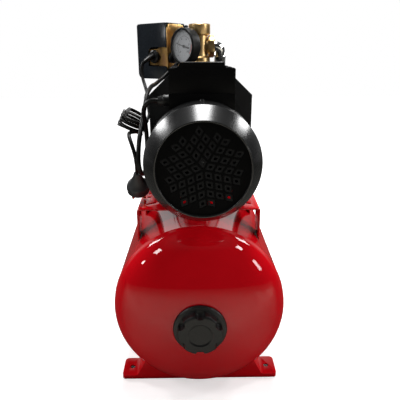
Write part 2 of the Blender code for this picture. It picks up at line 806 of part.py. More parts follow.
def stator():
    outer = housing_radius - housing_wall - gap
    slot_end = outer - 8 * mm
    pitch = 2 * pi / slot_count
    slots = []
    for i in range(slot_count):
        for reach, side in ((stator_bore, -1), (slot_end, -1), (slot_end, 1), (stator_bore, 1)):
            a = pitch * i + side * 0.3 * pitch * (stator_bore / reach)
            slots.append((reach * cos(a), reach * sin(a)))
    middle = motor_axis(stator_start() + stator_length / 2)
    outline("stator_core", [circle(outer, facets(outer)), slots], stator_length, middle, upright, steel)
    coil_outer = outer - 5 * mm
    coil_inner = stator_bore + 3 * mm
    coils = []
    for y in (stator_start() - gap - winding_length, stator_start() + stator_length + gap):
        profile = [(coil_inner, winding_length), (coil_outer - 3 * mm, winding_length),
                   (coil_outer, winding_length - 3 * mm), (coil_outer, 3 * mm),
                   (coil_outer - 3 * mm, 0), (coil_inner, 0)]
        coils.append(turned("stator_windings", profile, motor_axis(y), backward, copper))
    join(coils[0], coils[1])
    bar_half = 0.3 * pitch * stator_bore - gap
    for i in range(slot_count):
        bar = block("winding_bar", (coil_inner + 1 * mm, -bar_half, 0),
                    (slot_end - 1 * mm, bar_half, stator_length + winding_length))
        bar.data.transform(Matrix.Translation(bar.location))
        bar.data.transform(Matrix.Rotation(pitch * i, 4, 'Z'))
        bar.location = motor_axis(stator_start() - winding_length / 2)
        aim(bar, backward)
        join(coils[0], bar)
    return coils[0]


def rotor():
    # Shaft with bearing journals; the core, fan, seal ring and impeller sit on it.
    start = motor_front - 34 * mm
    end = impeller_front() + impeller_width + 4 * mm
    core_from = stator_start() - winding_length
    core_to = stator_start() + stator_length + winding_length
    profile = [(0, -start), (shaft_radius - 1 * mm, -start), (shaft_radius, -start - 1 * mm),
               (shaft_radius, -core_from), (core_shaft_radius, -core_from),
               (core_shaft_radius, -core_to), (shaft_radius, -core_to),
               (shaft_radius, -end + 1 * mm), (shaft_radius - 1 * mm, -end), (0, -end)]
    shaft = turned("rotor_shaft", profile, motor_axis(0), forward, steel)
    ring("rotor_core", stator_bore - 0.4 * mm, core_shaft_radius + gap, stator_length,
         motor_axis(stator_start()), backward, steel)
    return shaft


def star(count, inner, outer, thickness):
    # Outline of a hub with straight radial arms.
    half_in = thickness / 2 / inner
    half_out = thickness / 2 / outer
    points = []
    for i in range(count):
        a = 2 * pi * (i + 0.25) / count
        for r, turn in ((inner, a - half_in), (outer, a - half_out), (outer, a + half_out),
                        (inner, a + half_in)):
            points.append((r * cos(turn), r * sin(turn)))
    return points


def cooling_fan():
    # Hub with straight blades in front of a back plate.
    front = motor_front - fan_setout
    arms = star(fan_blade_count, fan_hub_radius, fan_radius, fan_blade_thickness)
    fan = outline("cooling_fan", [arms, circle(shaft_radius + gap)], fan_blade_width,
                  motor_axis(front + fan_blade_width / 2), upright, grey_plastic)
    plate = ring("fan_plate", fan_radius - 6 * mm, shaft_radius + 2.5 * mm, 2.2 * mm,
                 motor_axis(front + fan_blade_width - 5 * mm), backward)
    return join(fan, plate)


def rhombus_cells():
    # Five equal sectors, each a lattice of rhombi between its two spokes.
    sector = 2 * pi / grille_sectors
    shrink = 1 - grille_rib / (rhombus_side * sin(sector))
    cells = []
    for k in range(grille_sectors):
        one = Vector((cos(grille_turn + sector * k), sin(grille_turn + sector * k))) * rhombus_side
        two = Vector((cos(grille_turn + sector * (k + 1)),
                      sin(grille_turn + sector * (k + 1)))) * rhombus_side
        for i in range(8):
            for j in range(8):
                corners = [one * (i + a) + two * (j + b) for a, b in ((0, 0), (1, 0), (1, 1), (0, 1))]
                if max(c.length for c in corners) < grille_field_radius:
                    middle = sum(corners, Vector((0, 0))) / 4
                    cells.append([tuple(middle + (c - middle) * shrink) for c in corners])
    return cells


def fan_cowl():
    # Skirt, conical bezel and the recessed grille in one moulding.
    mouth = bezel_start + bezel_depth
    disc = mouth - grille_recess
    skirt_end = -skirt_overlap
    inner = cowl_radius - cowl_wall
    profile = [(0, disc), (cowl_mouth_radius - 2 * mm, disc), (cowl_mouth_radius - 2 * mm, mouth),
               (cowl_mouth_radius, mouth), (cowl_radius, bezel_start), (cowl_radius, skirt_end),
               (inner, skirt_end), (inner, bezel_start - 0.5 * mm),
               (cowl_mouth_radius - 1 * mm, disc - grille_thickness), (0, disc - grille_thickness)]
    cowl = turned("fan_cowl", profile, motor_axis(motor_front), forward, black_plastic)
    cutters = []
    for cell in rhombus_cells():
        cutters.append(outline("grille_cell", [cell], 4 * grille_thickness,
                               (pump_x, motor_front - disc + grille_thickness / 2, shaft_z), upright))
    cells = group("grille_cells", cutters, None)
    cut(cowl, cells)
    for direction in screw_directions():
        profile = [(0, 2.2 * mm), (4 * mm, 1.4 * mm), (4 * mm, -bite), (screw_radius, -bite),
                   (screw_radius, -screw_length), (0, -screw_length)]
        join(cowl, turned("cowl_screw", profile, screw_line(direction, cowl_radius), direction))
    return cowl


def screw_directions():
    return [Vector((cos(pi / 2 * i), 0, sin(pi / 2 * i))) for i in range(4)]


def screw_line(direction, distance):
    return Vector(motor_axis(motor_front + shield_thickness / 2)) + direction * distance


# Terminal box

def box_front():
    return motor_front + skirt_overlap + gap


def box_section(inset):
    # Front outline of the cover: shoulders, hollow fillets and a raised crown.
    half = box_width / 2 - inset
    crown = box_crown_width / 2 - inset
    shoulder = shoulder_z - inset
    top = crown_z - inset
    low = seam_z + gap if inset == 0 else seam_z - 5 * mm
    side = arc((crown + box_crown_rise, top), box_crown_rise, 180, 270, 5)
    right_side = [(half, low), (half, shoulder - 1.5 * mm), (half - 1.5 * mm, shoulder)]
    right_side += list(reversed(side))
    return right_side + [(-x, z) for x, z in reversed(right_side)]


def terminal_box():
    front = box_front()
    middle = (pump_x, front + box_depth / 2, 0)
    half = box_width / 2
    bottom = shaft_z + pad_height + gap
    cover = outline("terminal_box_cover", [box_section(0)], box_depth, middle, upright, black_plastic)
    hollow = outline("cover_hollow", [box_section(box_wall)], box_depth - 2 * box_wall, middle, upright,
                     cutter=True)
    cut(cover, hollow)
    base = block("terminal_box_base", (pump_x - half, front, bottom),
                 (pump_x + half, front + box_depth, seam_z), black_plastic)
    inner = block("base_hollow", (pump_x - half + box_wall, front + box_wall, bottom + box_wall),
                  (pump_x + half - box_wall, front + box_depth - box_wall, seam_z + 10 * mm),
                  cutter=True)
    cut(base, inner)
    for x, y in box_screw_places():
        post = rod("cover_post", 4.5 * mm, shoulder_z - box_wall / 2 - seam_z - gap,
                   (x, y, seam_z + gap), up)
        shank = -shoulder_z + seam_z - 8 * mm
        profile = [(0, 1.8 * mm), (3.6 * mm, 1 * mm), (3.6 * mm, -bite), (screw_radius, -bite),
                   (screw_radius, shank), (0, shank)]
        join(cover, post, turned("box_screw", profile, (x, y, shoulder_z), up))
        join(base, rod("base_post", 4.5 * mm, seam_z - bottom - box_wall / 2,
                       (x, y, bottom + box_wall / 2), up))
        cut(base, rod("base_screw_hole", screw_radius + gap, 12 * mm, (x, y, seam_z - 10 * mm), up,
                      cutter=True))
    cut(base, rod("box_gland_hole", 5.3 * mm, 10 * mm,
                  (pump_x - half - 3 * mm, box_gland_y(), box_gland_z()), right, cutter=True))
    floor = bottom + box_wall + gap
    block("terminal_block", (pump_x + 4 * mm, front + 50 * mm, floor),
          (pump_x + 36 * mm, front + 66 * mm, floor + 16 * mm), grey_plastic)
    rod("capacitor", 15 * mm, 54 * mm, (pump_x - 26 * mm, front + 34 * mm, floor + 15 * mm), right,
        grey_plastic)
    neck = 4.7 * mm
    bore = lead_radius + gap
    profile = [(bore, 17 * mm), (6 * mm, 17 * mm), (7.5 * mm, 9 * mm), (8.6 * mm, 9 * mm),
               (8.6 * mm, 0), (neck, 0), (neck, -box_wall - gap), (8 * mm, -box_wall - gap),
               (8 * mm, -box_wall - 3 * mm), (bore, -box_wall - 3 * mm)]
    return turned("box_cable_gland", profile, (pump_x - half - gap, box_gland_y(), box_gland_z()),
                  left, black_plastic)


def box_gland_y():
    return box_front() + 27 * mm


def box_gland_z():
    return seam_z - 11.5 * mm


def box_screw_places():
    x = box_width / 2 - 8 * mm
    front = box_front()
    rows = (front + 10 * mm, front + box_depth - 10 * mm)
    return [(pump_x + side * x, y) for side in (-1, 1) for y in rows]


# Pump

def casing_section(inset=0.0):
    half = casing_half_width - inset
    crown = casing_crown_width / 2 - 0.4 * inset
    base = shaft_height - gap
    low = 48 * mm - 0.4 * inset
    lower_corner = base - (half - low)
    return [(crown, casing_crown - inset), (half, casing_shoulder - 0.4 * inset),
            (half, -lower_corner + 0.4 * inset),
            (low, -base + inset), (-low, -base + inset), (-half, -lower_corner + 0.4 * inset),
            (-half, casing_shoulder - 0.4 * inset), (-crown, casing_crown - inset)]


def casing_bolt_places():
    near = casing_half_width - 9 * mm
    low = -shaft_height + 26 * mm
    return [(near, 22 * mm), (-near, 22 * mm), (34 * mm, casing_crown - 10 * mm),
            (-34 * mm, casing_crown - 10 * mm),
            (46 * mm, low), (-46 * mm, low)]


def motor_adaptor():
    # Cast disc with radial ribs, a bearing seat and the plate that bolts to the casing.
    seat = bearing_radius + gap
    plate_front = adaptor_length - adaptor_plate
    hub = turned("motor_adaptor",
                 [(0, -4 * mm), (housing_radius - 6 * mm, -4 * mm), (housing_radius - 6 * mm, 0),
                  (housing_radius + 4 * mm, 0), (housing_radius + 8 * mm, -plate_front - 2 * mm),
                  (0, -plate_front - 2 * mm)],
                 motor_axis(adaptor_front), forward, black_paint)
    plate = outline("adaptor_plate", [casing_section(0)], adaptor_plate,
                    (pump_x, adaptor_back - adaptor_plate / 2, shaft_z), upright)
    boss = rod("bearing_boss", seat + 6 * mm, 12 * mm, motor_axis(adaptor_front), backward)
    join(hub, plate, boss)
    for i in range(rib_count):
        a = 2 * pi * (i + 0.5) / rib_count
        reach = casing_half_width - 4 * mm
        side = [(housing_radius, -2 * mm), (housing_radius + 6 * mm, -2 * mm),
                (reach, -plate_front + 1 * mm), (reach, -plate_front - 3 * mm),
                (housing_radius, -plate_front - 3 * mm)]
        rib = outline("adaptor_rib", [side], 5 * mm, (0, 0, 0), upright)
        rib.data.transform(Matrix.Rotation(pi / 2, 4, 'X'))
        rib.data.transform(Matrix.Rotation(a, 4, 'Z'))
        rib.rotation_euler = (0, 0, 0)
        rib.location = motor_axis(adaptor_front)
        aim(rib, forward)
        join(hub, rib)
    cut(hub, rod("bearing_seat", seat, 5 * mm + bearing_width + 1 * mm,
                 motor_axis(adaptor_front - 1 * mm), backward, cutter=True))
    cut(hub, rod("shaft_hole", shaft_radius + 1 * mm, 2 * adaptor_length, motor_axis(adaptor_front),
                 backward, cutter=True))
    cut(hub, rod("seal_pocket", seal_pocket_radius, seal_pocket_depth + 10 * mm,
                 motor_axis(adaptor_back - seal_pocket_depth), backward, cutter=True))
    for x, z in casing_bolt_places():
        start = (pump_x + x, adaptor_back - adaptor_plate + bite, shaft_z + z)
        join(hub, hex_bolt("casing_bolt", start, backward, casing_bolt_radius, 10 * mm,
                           adaptor_plate + casing_bolt_depth, nut=False))
    return hub


def impeller_front():
    return casing_front + 7 * mm


def pump_casing():
    # Cast body with a round chamber, suction port behind, outlet boss on top, and a foot.
    nose_y = casing_back
    body = lofted("pump_casing", casing_section(0),
                  [(0, 1, 1), (casing_length - casing_nose, 1, 1), (casing_length - 5 * mm, 0.93, 0.94),
                   (casing_length, 0.84, 0.86)], black_paint)
    body.location = (pump_x, casing_front, shaft_z)
    foot_low = Vector((pump_x - casing_foot_width / 2, casing_foot_middle() - casing_foot_depth / 2,
                       bracket_top + gap))
    foot_size = Vector((casing_foot_width, casing_foot_depth, casing_foot_thickness))
    foot_plate = block("casing_foot", foot_low, foot_low + foot_size)
    suction_boss = rod("suction_boss", port_boss_radius, suction_boss_length + 20 * mm,
                       (pump_x, nose_y - 20 * mm, shaft_z + suction_rise), backward)
    outlet_boss = rod("outlet_boss", port_boss_radius, outlet_boss_height + 12 * mm,
                      (pump_x, column_y, casing_top - 12 * mm), up)
    priming_boss = rod("priming_boss", 14 * mm, 16 * mm, (pump_x, priming_y(), casing_top - 10 * mm), up)
    join(body, foot_plate, suction_boss, outlet_boss, priming_boss)
    chamber_length = casing_length - casing_wall
    chamber = rod("pump_chamber", chamber_radius, chamber_length,
                  (pump_x, casing_front - 1 * mm, shaft_z), backward, cutter=True)
    water_way = block("water_way", (pump_x - 32 * mm, casing_front + 18 * mm, shaft_z),
                      (pump_x + 32 * mm, casing_front + chamber_length - 2 * mm,
                       casing_top - casing_wall), cutter=True)
    suction_bore = rod("suction_bore", port_radius, 60 * mm,
                       (pump_x, nose_y - 30 * mm, shaft_z + suction_rise),
                       backward, cutter=True)
    outlet_bore = rod("outlet_bore", port_radius, 60 * mm, (pump_x, column_y, casing_top - 30 * mm), up,
                      steps=facets(collar_radius), cutter=True)
    priming_bore = rod("priming_bore", 8.3 * mm, 40 * mm, (pump_x, priming_y(), casing_top - 20 * mm), up,
                       cutter=True)
    drain_bore = rod("drain_bore", 5.3 * mm, 40 * mm, (pump_x, nose_y - 25 * mm, shaft_z + drain_drop()),
                     backward, cutter=True)
    cut(body, chamber, water_way, suction_bore, outlet_bore, priming_bore, drain_bore)
    for x, z in casing_bolt_places():
        cut(body, rod("casing_bolt_hole", casing_bolt_radius + gap, casing_bolt_depth + 3 * mm,
                      (pump_x + x, casing_front - 1 * mm, shaft_z + z), backward, cutter=True))
    for side in (-1, 1):
        hole_place = (pump_x + side * foot_bolt_spacing / 2, casing_foot_middle(), bracket_top - 4 * mm)
        cut(body, rod("foot_bolt_hole", bolt_radius + gap, 40 * mm, hole_place, up, cutter=True))
    return body


def priming_y():
    return casing_front + 28 * mm


def drain_drop():
    return -chamber_radius + 14 * mm


def casing_parts():
    grip = casing_foot_thickness + gap + bracket_sheet + 2 * gap
    for name, side in (("mounting_bolt_left", -1), ("mounting_bolt_right", 1)):
        top = bracket_top + gap + casing_foot_thickness + gap
        bolt = hex_bolt(name, (pump_x + side * foot_bolt_spacing / 2, casing_foot_middle(), top),
                        down, bolt_radius, bolt_head_width, grip)
        place(bolt, bolt.location, steel)
    ring("casing_o_ring", chamber_radius - 2 * gap, chamber_radius - 3.2 * mm, 2.6 * mm,
         motor_axis(adaptor_back + gap), backward, rubber)
    plug = outline("priming_plug", [hexagon(19 * mm)], 8 * mm,
                   (pump_x, priming_y(), casing_top + 6 * mm + gap + 4 * mm), finish=brass)
    join(plug, rod("priming_thread", 8 * mm, 14 * mm, (pump_x, priming_y(), casing_top - 5 * mm), up))
    drain = hex_bolt("drain_plug", (pump_x, casing_back + gap, shaft_z + drain_drop()), forward,
                     5 * mm, 14 * mm, 10 * mm, nut=False)
    place(drain, drain.location, brass)


def hydraulics():
    # Closed impeller, its diffuser, the ejector and the shaft seal.
    front = impeller_front()
    bore = shaft_radius + gap
    vanes = star(impeller_vanes, 16 * mm, impeller_radius - 0.5 * mm, 2.4 * mm)
    wheel = outline("impeller", [vanes, circle(bore)], impeller_width - 1 * mm,
                    motor_axis(front + impeller_width / 2), upright, brass)
    for offset in (0, impeller_width - 2.4 * mm):
        join(wheel, ring("impeller_disc", impeller_radius, bore + 2 * mm, 2.4 * mm,
                         motor_axis(front + offset), backward))
    back = impeller_width + 1.5 * mm
    eye = 18 * mm
    rim = chamber_radius - 6 * mm
    profile = [(rim, 0), (chamber_radius - gap, 0), (chamber_radius - gap, -back - 3 * mm),
               (eye + 4 * mm, -back - 3 * mm), (eye + 4 * mm, -back - 16 * mm),
               (eye, -back - 16 * mm), (eye, -back), (rim, -back)]
    turned("diffuser", profile, motor_axis(front), forward, grey_plastic)
    throat = 8 * mm
    start = front + back + 3 * mm + 4 * mm
    stop = casing_back - casing_wall - 2 * gap - 1 * mm
    profile = [(throat + 2 * mm, 0), (eye - gap, 0), (eye - gap, -10 * mm), (throat + 3 * mm, -22 * mm),
               (throat + 3 * mm, start - stop), (throat - 2 * mm, start - stop),
               (throat - 2 * mm, -30 * mm)]
    turned("ejector", profile, motor_axis(start), forward, grey_plastic)
    seat_y = adaptor_back - seal_pocket_depth
    ring("seal_seat", seal_pocket_radius - gap, shaft_radius + 1.2 * mm, 7 * mm, motor_axis(seat_y + gap),
         backward, carbon)
    ring("seal_ring", 12.5 * mm, bore, front - seat_y - 7 * mm - 3 * gap,
         motor_axis(seat_y + 7 * mm + 2 * gap), backward, steel)
    return wheel


# Water connections

def outlet_fitting():
    # Five ports: casing below, house line above, hose right, gauge ahead left, switch left.
    thread = port_radius - gap
    bore = 11 * mm
    core = bore - 1 * mm
    inlet = 13.5 * mm
    collar_low = fitting_top - collar_length
    lower_flange = column_radius + 4 * mm
    profile = [(port_radius, fitting_top), (collar_radius - 1 * mm, fitting_top),
               (collar_radius, fitting_top - 1 * mm), (collar_radius, collar_low + 2 * mm),
               (column_radius, collar_low), (column_radius, 13 * mm), (lower_flange, 10 * mm),
               (lower_flange, gap), (thread, gap), (thread, -inlet), (core, -inlet),
               (core, collar_low + 3 * mm), (port_radius, collar_low + 3 * mm)]
    centre = (pump_x, column_y, outlet_face)
    body = turned("outlet_fitting", profile, centre, up, brass)
    middle = Vector((pump_x, column_y, port_z))
    arms = [(right, 13 * mm, hose_arm, 9 * mm), (switch_direction(), 8 * mm, switch_arm, 4 * mm),
            (gauge_direction(), 8.5 * mm, gauge_arm, 4 * mm)]
    for direction, radius, reach, hole in arms:
        join(body, rod("fitting_arm", radius, reach - 8 * mm, middle + Vector(direction) * 8 * mm,
                       direction))
    for direction, radius, reach, hole in arms:
        cut(body, rod("fitting_bore", hole, reach, middle + Vector(direction) * 6 * mm, direction,
                      cutter=True))
    cut(body, rod("column_bore", bore, fitting_top - collar_length + inlet + 10 * mm,
                  (pump_x, column_y, outlet_face - inlet - 6 * mm), up, cutter=True))
    return body


def switch_direction():
    return (-cos(switch_turn), sin(switch_turn), 0)


def gauge_direction():
    return (-sin(gauge_turn), -cos(gauge_turn), 0)


def hose_fall():
    # Way the hose leaves the upper elbow: down and a little back.
    lean = radians(31)
    return Vector((0, sin(lean), -cos(lean)))


def ferrule(end, direction):
    # Crimped sleeve round the end of the hose.
    bore = hose_radius + 0.8 * mm
    profile = [(bore, ferrule_length), (ferrule_radius, ferrule_length), (ferrule_radius, 0), (0, 0),
               (0, ferrule_floor), (bore, ferrule_floor)]
    return turned("ferrule", profile, end - direction * 0.5 * mm, direction)


def elbow_path(start, heading, leaving, straight, bend, tail):
    # Straight, a quarter bend, and a straight tail.
    middle = start + heading * straight
    path = [start] + [middle + bend * (sin(a) * heading + (1 - cos(a)) * leaving)
                      for a in [pi / 2 * i / 6 for i in range(7)]]
    return path + [path[-1] + leaving * tail]


def hose_parts():
    nut_from = column_radius + 0.5 * mm
    nut = outline("union_nut", [hexagon(nut_width), circle(13 * mm + 2 * gap, facets(nut_width / 2))],
                  nut_length, (pump_x + nut_from + nut_length / 2, column_y, port_z), (0, pi / 2, 0),
                  brass)
    start = Vector((pump_x + hose_arm + gap, column_y, port_z))
    bend = 9.5 * mm
    fall = hose_fall()
    path = elbow_path(start, Vector(right), fall, 7 * mm, bend, 6 * mm)
    top_elbow = to_solid(tube("hose_elbow_top", path, elbow_radius, chrome, 3))
    top_end = path[-1]
    join(top_elbow, ferrule(top_end, fall))
    flange_side = cover_flange_back + tank_socket_length + gap
    low_path = elbow_path(Vector((0, flange_side, tank_axis)), Vector(backward), Vector(up),
                          elbow_y - flange_side - bend, bend, 6 * mm)
    low_elbow = to_solid(tube("hose_elbow_bottom", low_path, elbow_radius, chrome, 3))
    low_end = low_path[-1]
    join(low_elbow, ferrule(low_end, Vector(up)))
    seat = ferrule_floor + gap
    sleeve = (14 * mm, 27 * mm, 40 * mm)
    route = [top_end + fall * seat] + [top_end + fall * d for d in sleeve]
    route += [Vector((pump_x + 46 * mm, column_y + 62 * mm, port_z - 88 * mm)),
              Vector((pump_x + 47 * mm, column_y + 108 * mm, port_z - 170 * mm)),
              Vector((36 * mm, elbow_y - 58 * mm, tank_axis + 150 * mm)),
              Vector((12 * mm, elbow_y - 10 * mm, tank_axis + 90 * mm))]
    route += [low_end + Vector((0, 0, d)) for d in reversed(sleeve)] + [low_end + Vector((0, 0, seat))]
    tube("braided_hose", smooth_path(route), hose_radius, chrome)
    return nut


# Gauge

def gauge_point(distance):
    return Vector((pump_x, column_y, port_z)) + Vector(gauge_direction()) * distance


def gauge():
    facing = gauge_direction()
    back = gauge_distance - gauge_depth
    stem = outline("gauge_stem", [hexagon(14 * mm)], 4 * mm, gauge_point(gauge_arm + gap + 2 * mm))
    aim(stem, facing)
    place(stem, stem.location, brass)
    inner = gauge_radius - gauge_rim
    front = gauge_depth
    profile = [(inner - 2 * mm, front), (gauge_radius - 1 * mm, front),
               (gauge_radius, front - 1.5 * mm), (gauge_radius, 3 * mm), (gauge_radius - 3 * mm, 0),
               (0, 0), (0, 2 * mm), (inner, 2 * mm), (inner, front - 1.5 * mm),
               (inner - 2 * mm, front - 1.5 * mm)]
    turned("gauge_case", profile, gauge_point(back), facing, black_plastic)
    lens_back = gauge_distance - 1.5 * mm - gap - 1.4 * mm
    rod("gauge_lens", inner - gap, 1.4 * mm, gauge_point(lens_back), facing, glass)
    dial_front = gauge_distance - 6.5 * mm
    dial_back = back + 2 * mm + gap
    face = dial_front - dial_back
    turned("gauge_dial", [(0, face), (inner - gap, face), (inner - gap, face - 1 * mm),
                          (5 * mm, face - 1 * mm), (5 * mm, 0), (0, 0)],
           gauge_point(dial_back), facing, white_dial)
    needle = [(-14 * mm, -1.4 * mm), (-14 * mm, 1.4 * mm), (-3 * mm, 0.8 * mm), (24 * mm, 0.3 * mm),
              (24 * mm, -0.3 * mm), (-3 * mm, -0.8 * mm)]
    pointer = outline("gauge_needle", [needle], 0.8 * mm, gauge_point(dial_front + gap + 0.9 * mm))
    aim(pointer, facing)
    pointer.rotation_euler = (pointer.rotation_euler.to_matrix()
                              @ Matrix.Rotation(needle_turn(), 3, 'Z')).to_euler()
    place(pointer, pointer.location, black_plastic)
    join(pointer, rod("needle_hub", 2.4 * mm, 2 * mm, gauge_point(dial_front + gap), facing))
    above = gauge_point(gauge_distance - 12 * mm) + Vector((0, 0, gauge_radius + gap))
    turned("gauge_vent_plug", [(0, 4 * mm), (2.6 * mm, 4 * mm), (4 * mm, 2.6 * mm), (4 * mm, 0), (0, 0)],
           above, up, black_plastic)


def needle_turn():
    return radians(165)


# Pressure switch

def gland_places():
    # Distance out from the port face, offset to the front or right, height.
    return (33 * mm, -17.5 * mm), (switch_base_width / 2 - 11 * mm, -20 * mm)


def rounded(half_width, low, high, corner):
    # Rectangle with round corners.
    return (arc((half_width - corner, high - corner), corner, 0, 90, 4)
            + arc((-half_width + corner, high - corner), corner, 90, 180, 4)
            + arc((-half_width + corner, low + corner), corner, 180, 270, 4)
            + arc((half_width - corner, low + corner), corner, 270, 360, 4))


def switch_base():
    # Deep-drawn base, open to the cover, with a tab that carries the mains gland.
    half = switch_base_width / 2
    near = -switch_distance
    far = near - switch_base_depth
    shell = rounded(half, -switch_base_bottom, switch_base_top, switch_base_corner)
    base = outline("switch_base", [shell], switch_base_depth, ((near + far) / 2, 0, 0), sideways,
                   passivated)
    inner = rounded(half - switch_wall, -switch_base_bottom + switch_wall, switch_base_top - switch_wall,
                    switch_base_corner - switch_wall)
    cut(base, outline("switch_base_hollow", [inner], switch_base_depth,
                      ((near + far) / 2 - switch_wall, 0, 0), sideways, cutter=True))
    (gland_out, gland_z), (lead_across, lead_z) = gland_places()
    tab = block("switch_tab", (near - gland_out - gland_radius - 3 * mm, -half,
                               gland_z - gland_radius - 4 * mm),
                (far + 3 * mm, -half + switch_wall, gland_z + gland_radius + 2 * mm))
    join(base, tab)
    cut(base, rod("switch_port_hole", switch_neck_radius + gap, 10 * mm, (near - 5 * mm, 0, 0), right,
                  cutter=True))
    cut(base, rod("mains_gland_hole", gland_neck + gap, 10 * mm,
                  (near - gland_out, -half - 4 * mm, gland_z), backward, cutter=True))
    cut(base, rod("lead_gland_hole", gland_neck + gap, 10 * mm, (near - 5 * mm, -lead_across, lead_z),
                  right, cutter=True))
    return base


def cover_outline(inset):
    # Side view of the cover: round lower corner, eased upper corner.
    near = -switch_distance - switch_base_depth - gap
    far = near - switch_cover_depth + inset
    if inset:
        near += 5 * mm
    low_corner = 11 * mm - inset
    high_corner = 6 * mm - inset
    low = -switch_bottom + inset
    high = switch_top - inset
    low_arc = arc((far + low_corner, low + low_corner), low_corner, 180, 270, 5)
    high_arc = arc((far + high_corner, high - high_corner), high_corner, 90, 180, 4)
    return [(near, low)] + list(reversed(low_arc)) + list(reversed(high_arc)) + [(near, high)]


def switch_cover():
    cover = outline("switch_cover", [cover_outline(0)], switch_cover_width, (0, 0, 0), upright,
                    black_plastic)
    cut(cover, outline("switch_cover_hollow", [cover_outline(switch_wall)],
                       switch_cover_width - 2 * switch_wall, (0, 0, 0), upright, cutter=True))
    (gland_out, gland_z), lead_place = gland_places()
    notch_far = -switch_distance - gland_out - gland_radius - 5 * mm
    notch_low = gland_z - gland_radius - 6 * mm
    notch_high = gland_z + gland_radius + 5 * mm
    corner = 12 * mm
    notch = ([(-switch_distance, notch_low)]
             + list(reversed(arc((notch_far + 3 * mm, notch_low + 3 * mm), 3 * mm, 180, 270, 2)))
             + list(reversed(arc((notch_far + corner, notch_high - corner), corner, 90, 180, 5)))
             + [(-switch_distance, notch_high)])
    cut(cover, outline("cover_notch", [notch], 12 * mm, (0, -switch_cover_width / 2 + 2 * mm, 0), upright,
                       cutter=True))
    return cover


def gland(name, cable, size, location, direction):
    bore = cable + gap
    end = -switch_wall - 1 * mm
    profile = [(bore, 7 * mm), (size - 3 * mm, 7 * mm), (size, 5 * mm), (size, gap),
               (gland_neck, gap), (gland_neck, end), (bore, end)]
    return turned(name, profile, location, direction, black_plastic)


def switch_parts():
    near = -switch_distance
    half = switch_base_width / 2
    (gland_out, gland_z), (lead_across, lead_z) = gland_places()
    gland("mains_gland", cord_radius, gland_radius, (near - gland_out, -half, gland_z), forward)
    gland("lead_gland", lead_radius, 9.5 * mm, (near, -lead_across, lead_z), right)
    nut_from = switch_arm + gap
    reach = switch_distance - nut_from - gap
    nut = outline("switch_port_nut", [hexagon(17 * mm)], 15 * mm, (near + gap + 7.5 * mm, 0, 0),
                  (0, pi / 2, 0), passivated)
    join(nut, rod("switch_port_neck", switch_neck_radius, reach + gap + switch_wall + 5 * mm,
                  (-nut_from, 0, 0), left))
    block("contact_block", (near - switch_base_depth - 20 * mm, -3 * mm, -38 * mm),
          (near - switch_wall - gap, half - 4 * mm, -11 * mm), grey_plastic)
    coil_count = 3
    point_count = 7 * coil_count
    wire = 1.2 * mm
    spring_radius = 8 * mm
    spring_length = 32 * mm
    path = []
    spring_start = near - switch_wall - gap - wire
    for i in range(point_count + 1):
        a = 2 * pi * coil_count * i / point_count
        path.append(Vector((spring_start - spring_length * i / point_count,
                            8 * mm + spring_radius * cos(a), 22 * mm + spring_radius * sin(a))))
    tube("range_spring", path, wire, steel, 1)


def switch_point(out, across, height):
    # A point in the switch's own directions, in the tank's frame.
    turn = Matrix.Rotation(-switch_turn, 3, 'Z')
    return Vector((pump_x, column_y, port_z)) + turn @ Vector((-out, -across, height))


# Cords

hank_length = 118 * mm
hank_width = 43 * mm
hank_thickness = 26 * mm
hank_roll = radians(25)             # left side up


def beside_pump(x, y, z):
    # From the casing's left shoulder: x to the right, y back from its front, z above the shaft.
    corner = Vector((pump_x - casing_half_width, casing_front, shaft_z))
    return corner + Vector((x, y, z)) * mm


hank_centre = beside_pump(-26.6, -10.9, 32.5)


def hank_point(across, along, high):
    # A point in the hank's own directions, in millimetres from its middle.
    turn = Matrix.Rotation(hank_roll, 3, 'Y')
    return hank_centre + turn @ (Vector((across, along, high)) * mm)


def mains_cord():
    # From the switch's gland to the hank beside the pump, and on to the plug.
    (gland_out, gland_z), lead_place = gland_places()
    out = switch_distance + gland_out
    reach = switch_base_width / 2 + 7 * mm + gap
    upper = [switch_point(out, reach, gland_z), switch_point(out, reach + 11 * mm, gland_z - 0.5 * mm),
             beside_pump(-18.5, 108.9, 130), beside_pump(-22, 104.3, 120.5),
             beside_pump(-22.5, 101.1, 108.5), beside_pump(-20.5, 96.1, 97.5),
             beside_pump(-17, 88.1, 88), beside_pump(-13.5, 76.6, 80),
             beside_pump(-10.5, 63.6, 74), beside_pump(-8.5, 51.6, 67),
             beside_pump(-7.1, 43, 57.5), beside_pump(-5.8, 36.8, 48.5), beside_pump(-4.6, 31.7, 39.4)]
    tube("mains_cord_upper", smooth_path(upper, 2), cord_radius, rubber)
    half = hank_width / 2
    straight = hank_length / 2 - half
    loop = arc((0, straight), half, 0, 180, 10) + arc((0, -straight), half, 180, 360, 10)
    outline("mains_cord_hank", [loop], hank_thickness, hank_centre, (0, hank_roll, 0), rubber)
    inner = Vector((half + gap, 10 * mm, hank_thickness / 2 + gap))
    outer = Vector((half + gap + 0.7 * mm, 4 * mm, hank_thickness / 2 + gap + 0.7 * mm))
    middle = hank_point(0, -14, 0)
    band = block("cord_tie", middle - outer, middle + outer, black_plastic)
    space = block("tie_space", middle - inner, middle + inner, cutter=True)
    band.rotation_euler = (0, hank_roll, 0)
    space.rotation_euler = (0, hank_roll, 0)
    cut(band, space)
    start = hank_point(4, -59.6, -9)
    entry, axis = plug_place()
    bend = [(0, 0, 0), (0, -4, 0), (1, -13.4, -1.6), (3.3, -21, -6.1), (6.4, -26.4, -13.1),
            (9.3, -29, -22.1), (11.3, -28.2, -32.7)]
    lower = [start + Vector(step) * mm for step in bend]
    lower += [entry - axis * 20 * mm, entry - axis * 10 * mm, entry]
    tube("mains_cord_lower", smooth_path(lower), cord_radius, rubber)


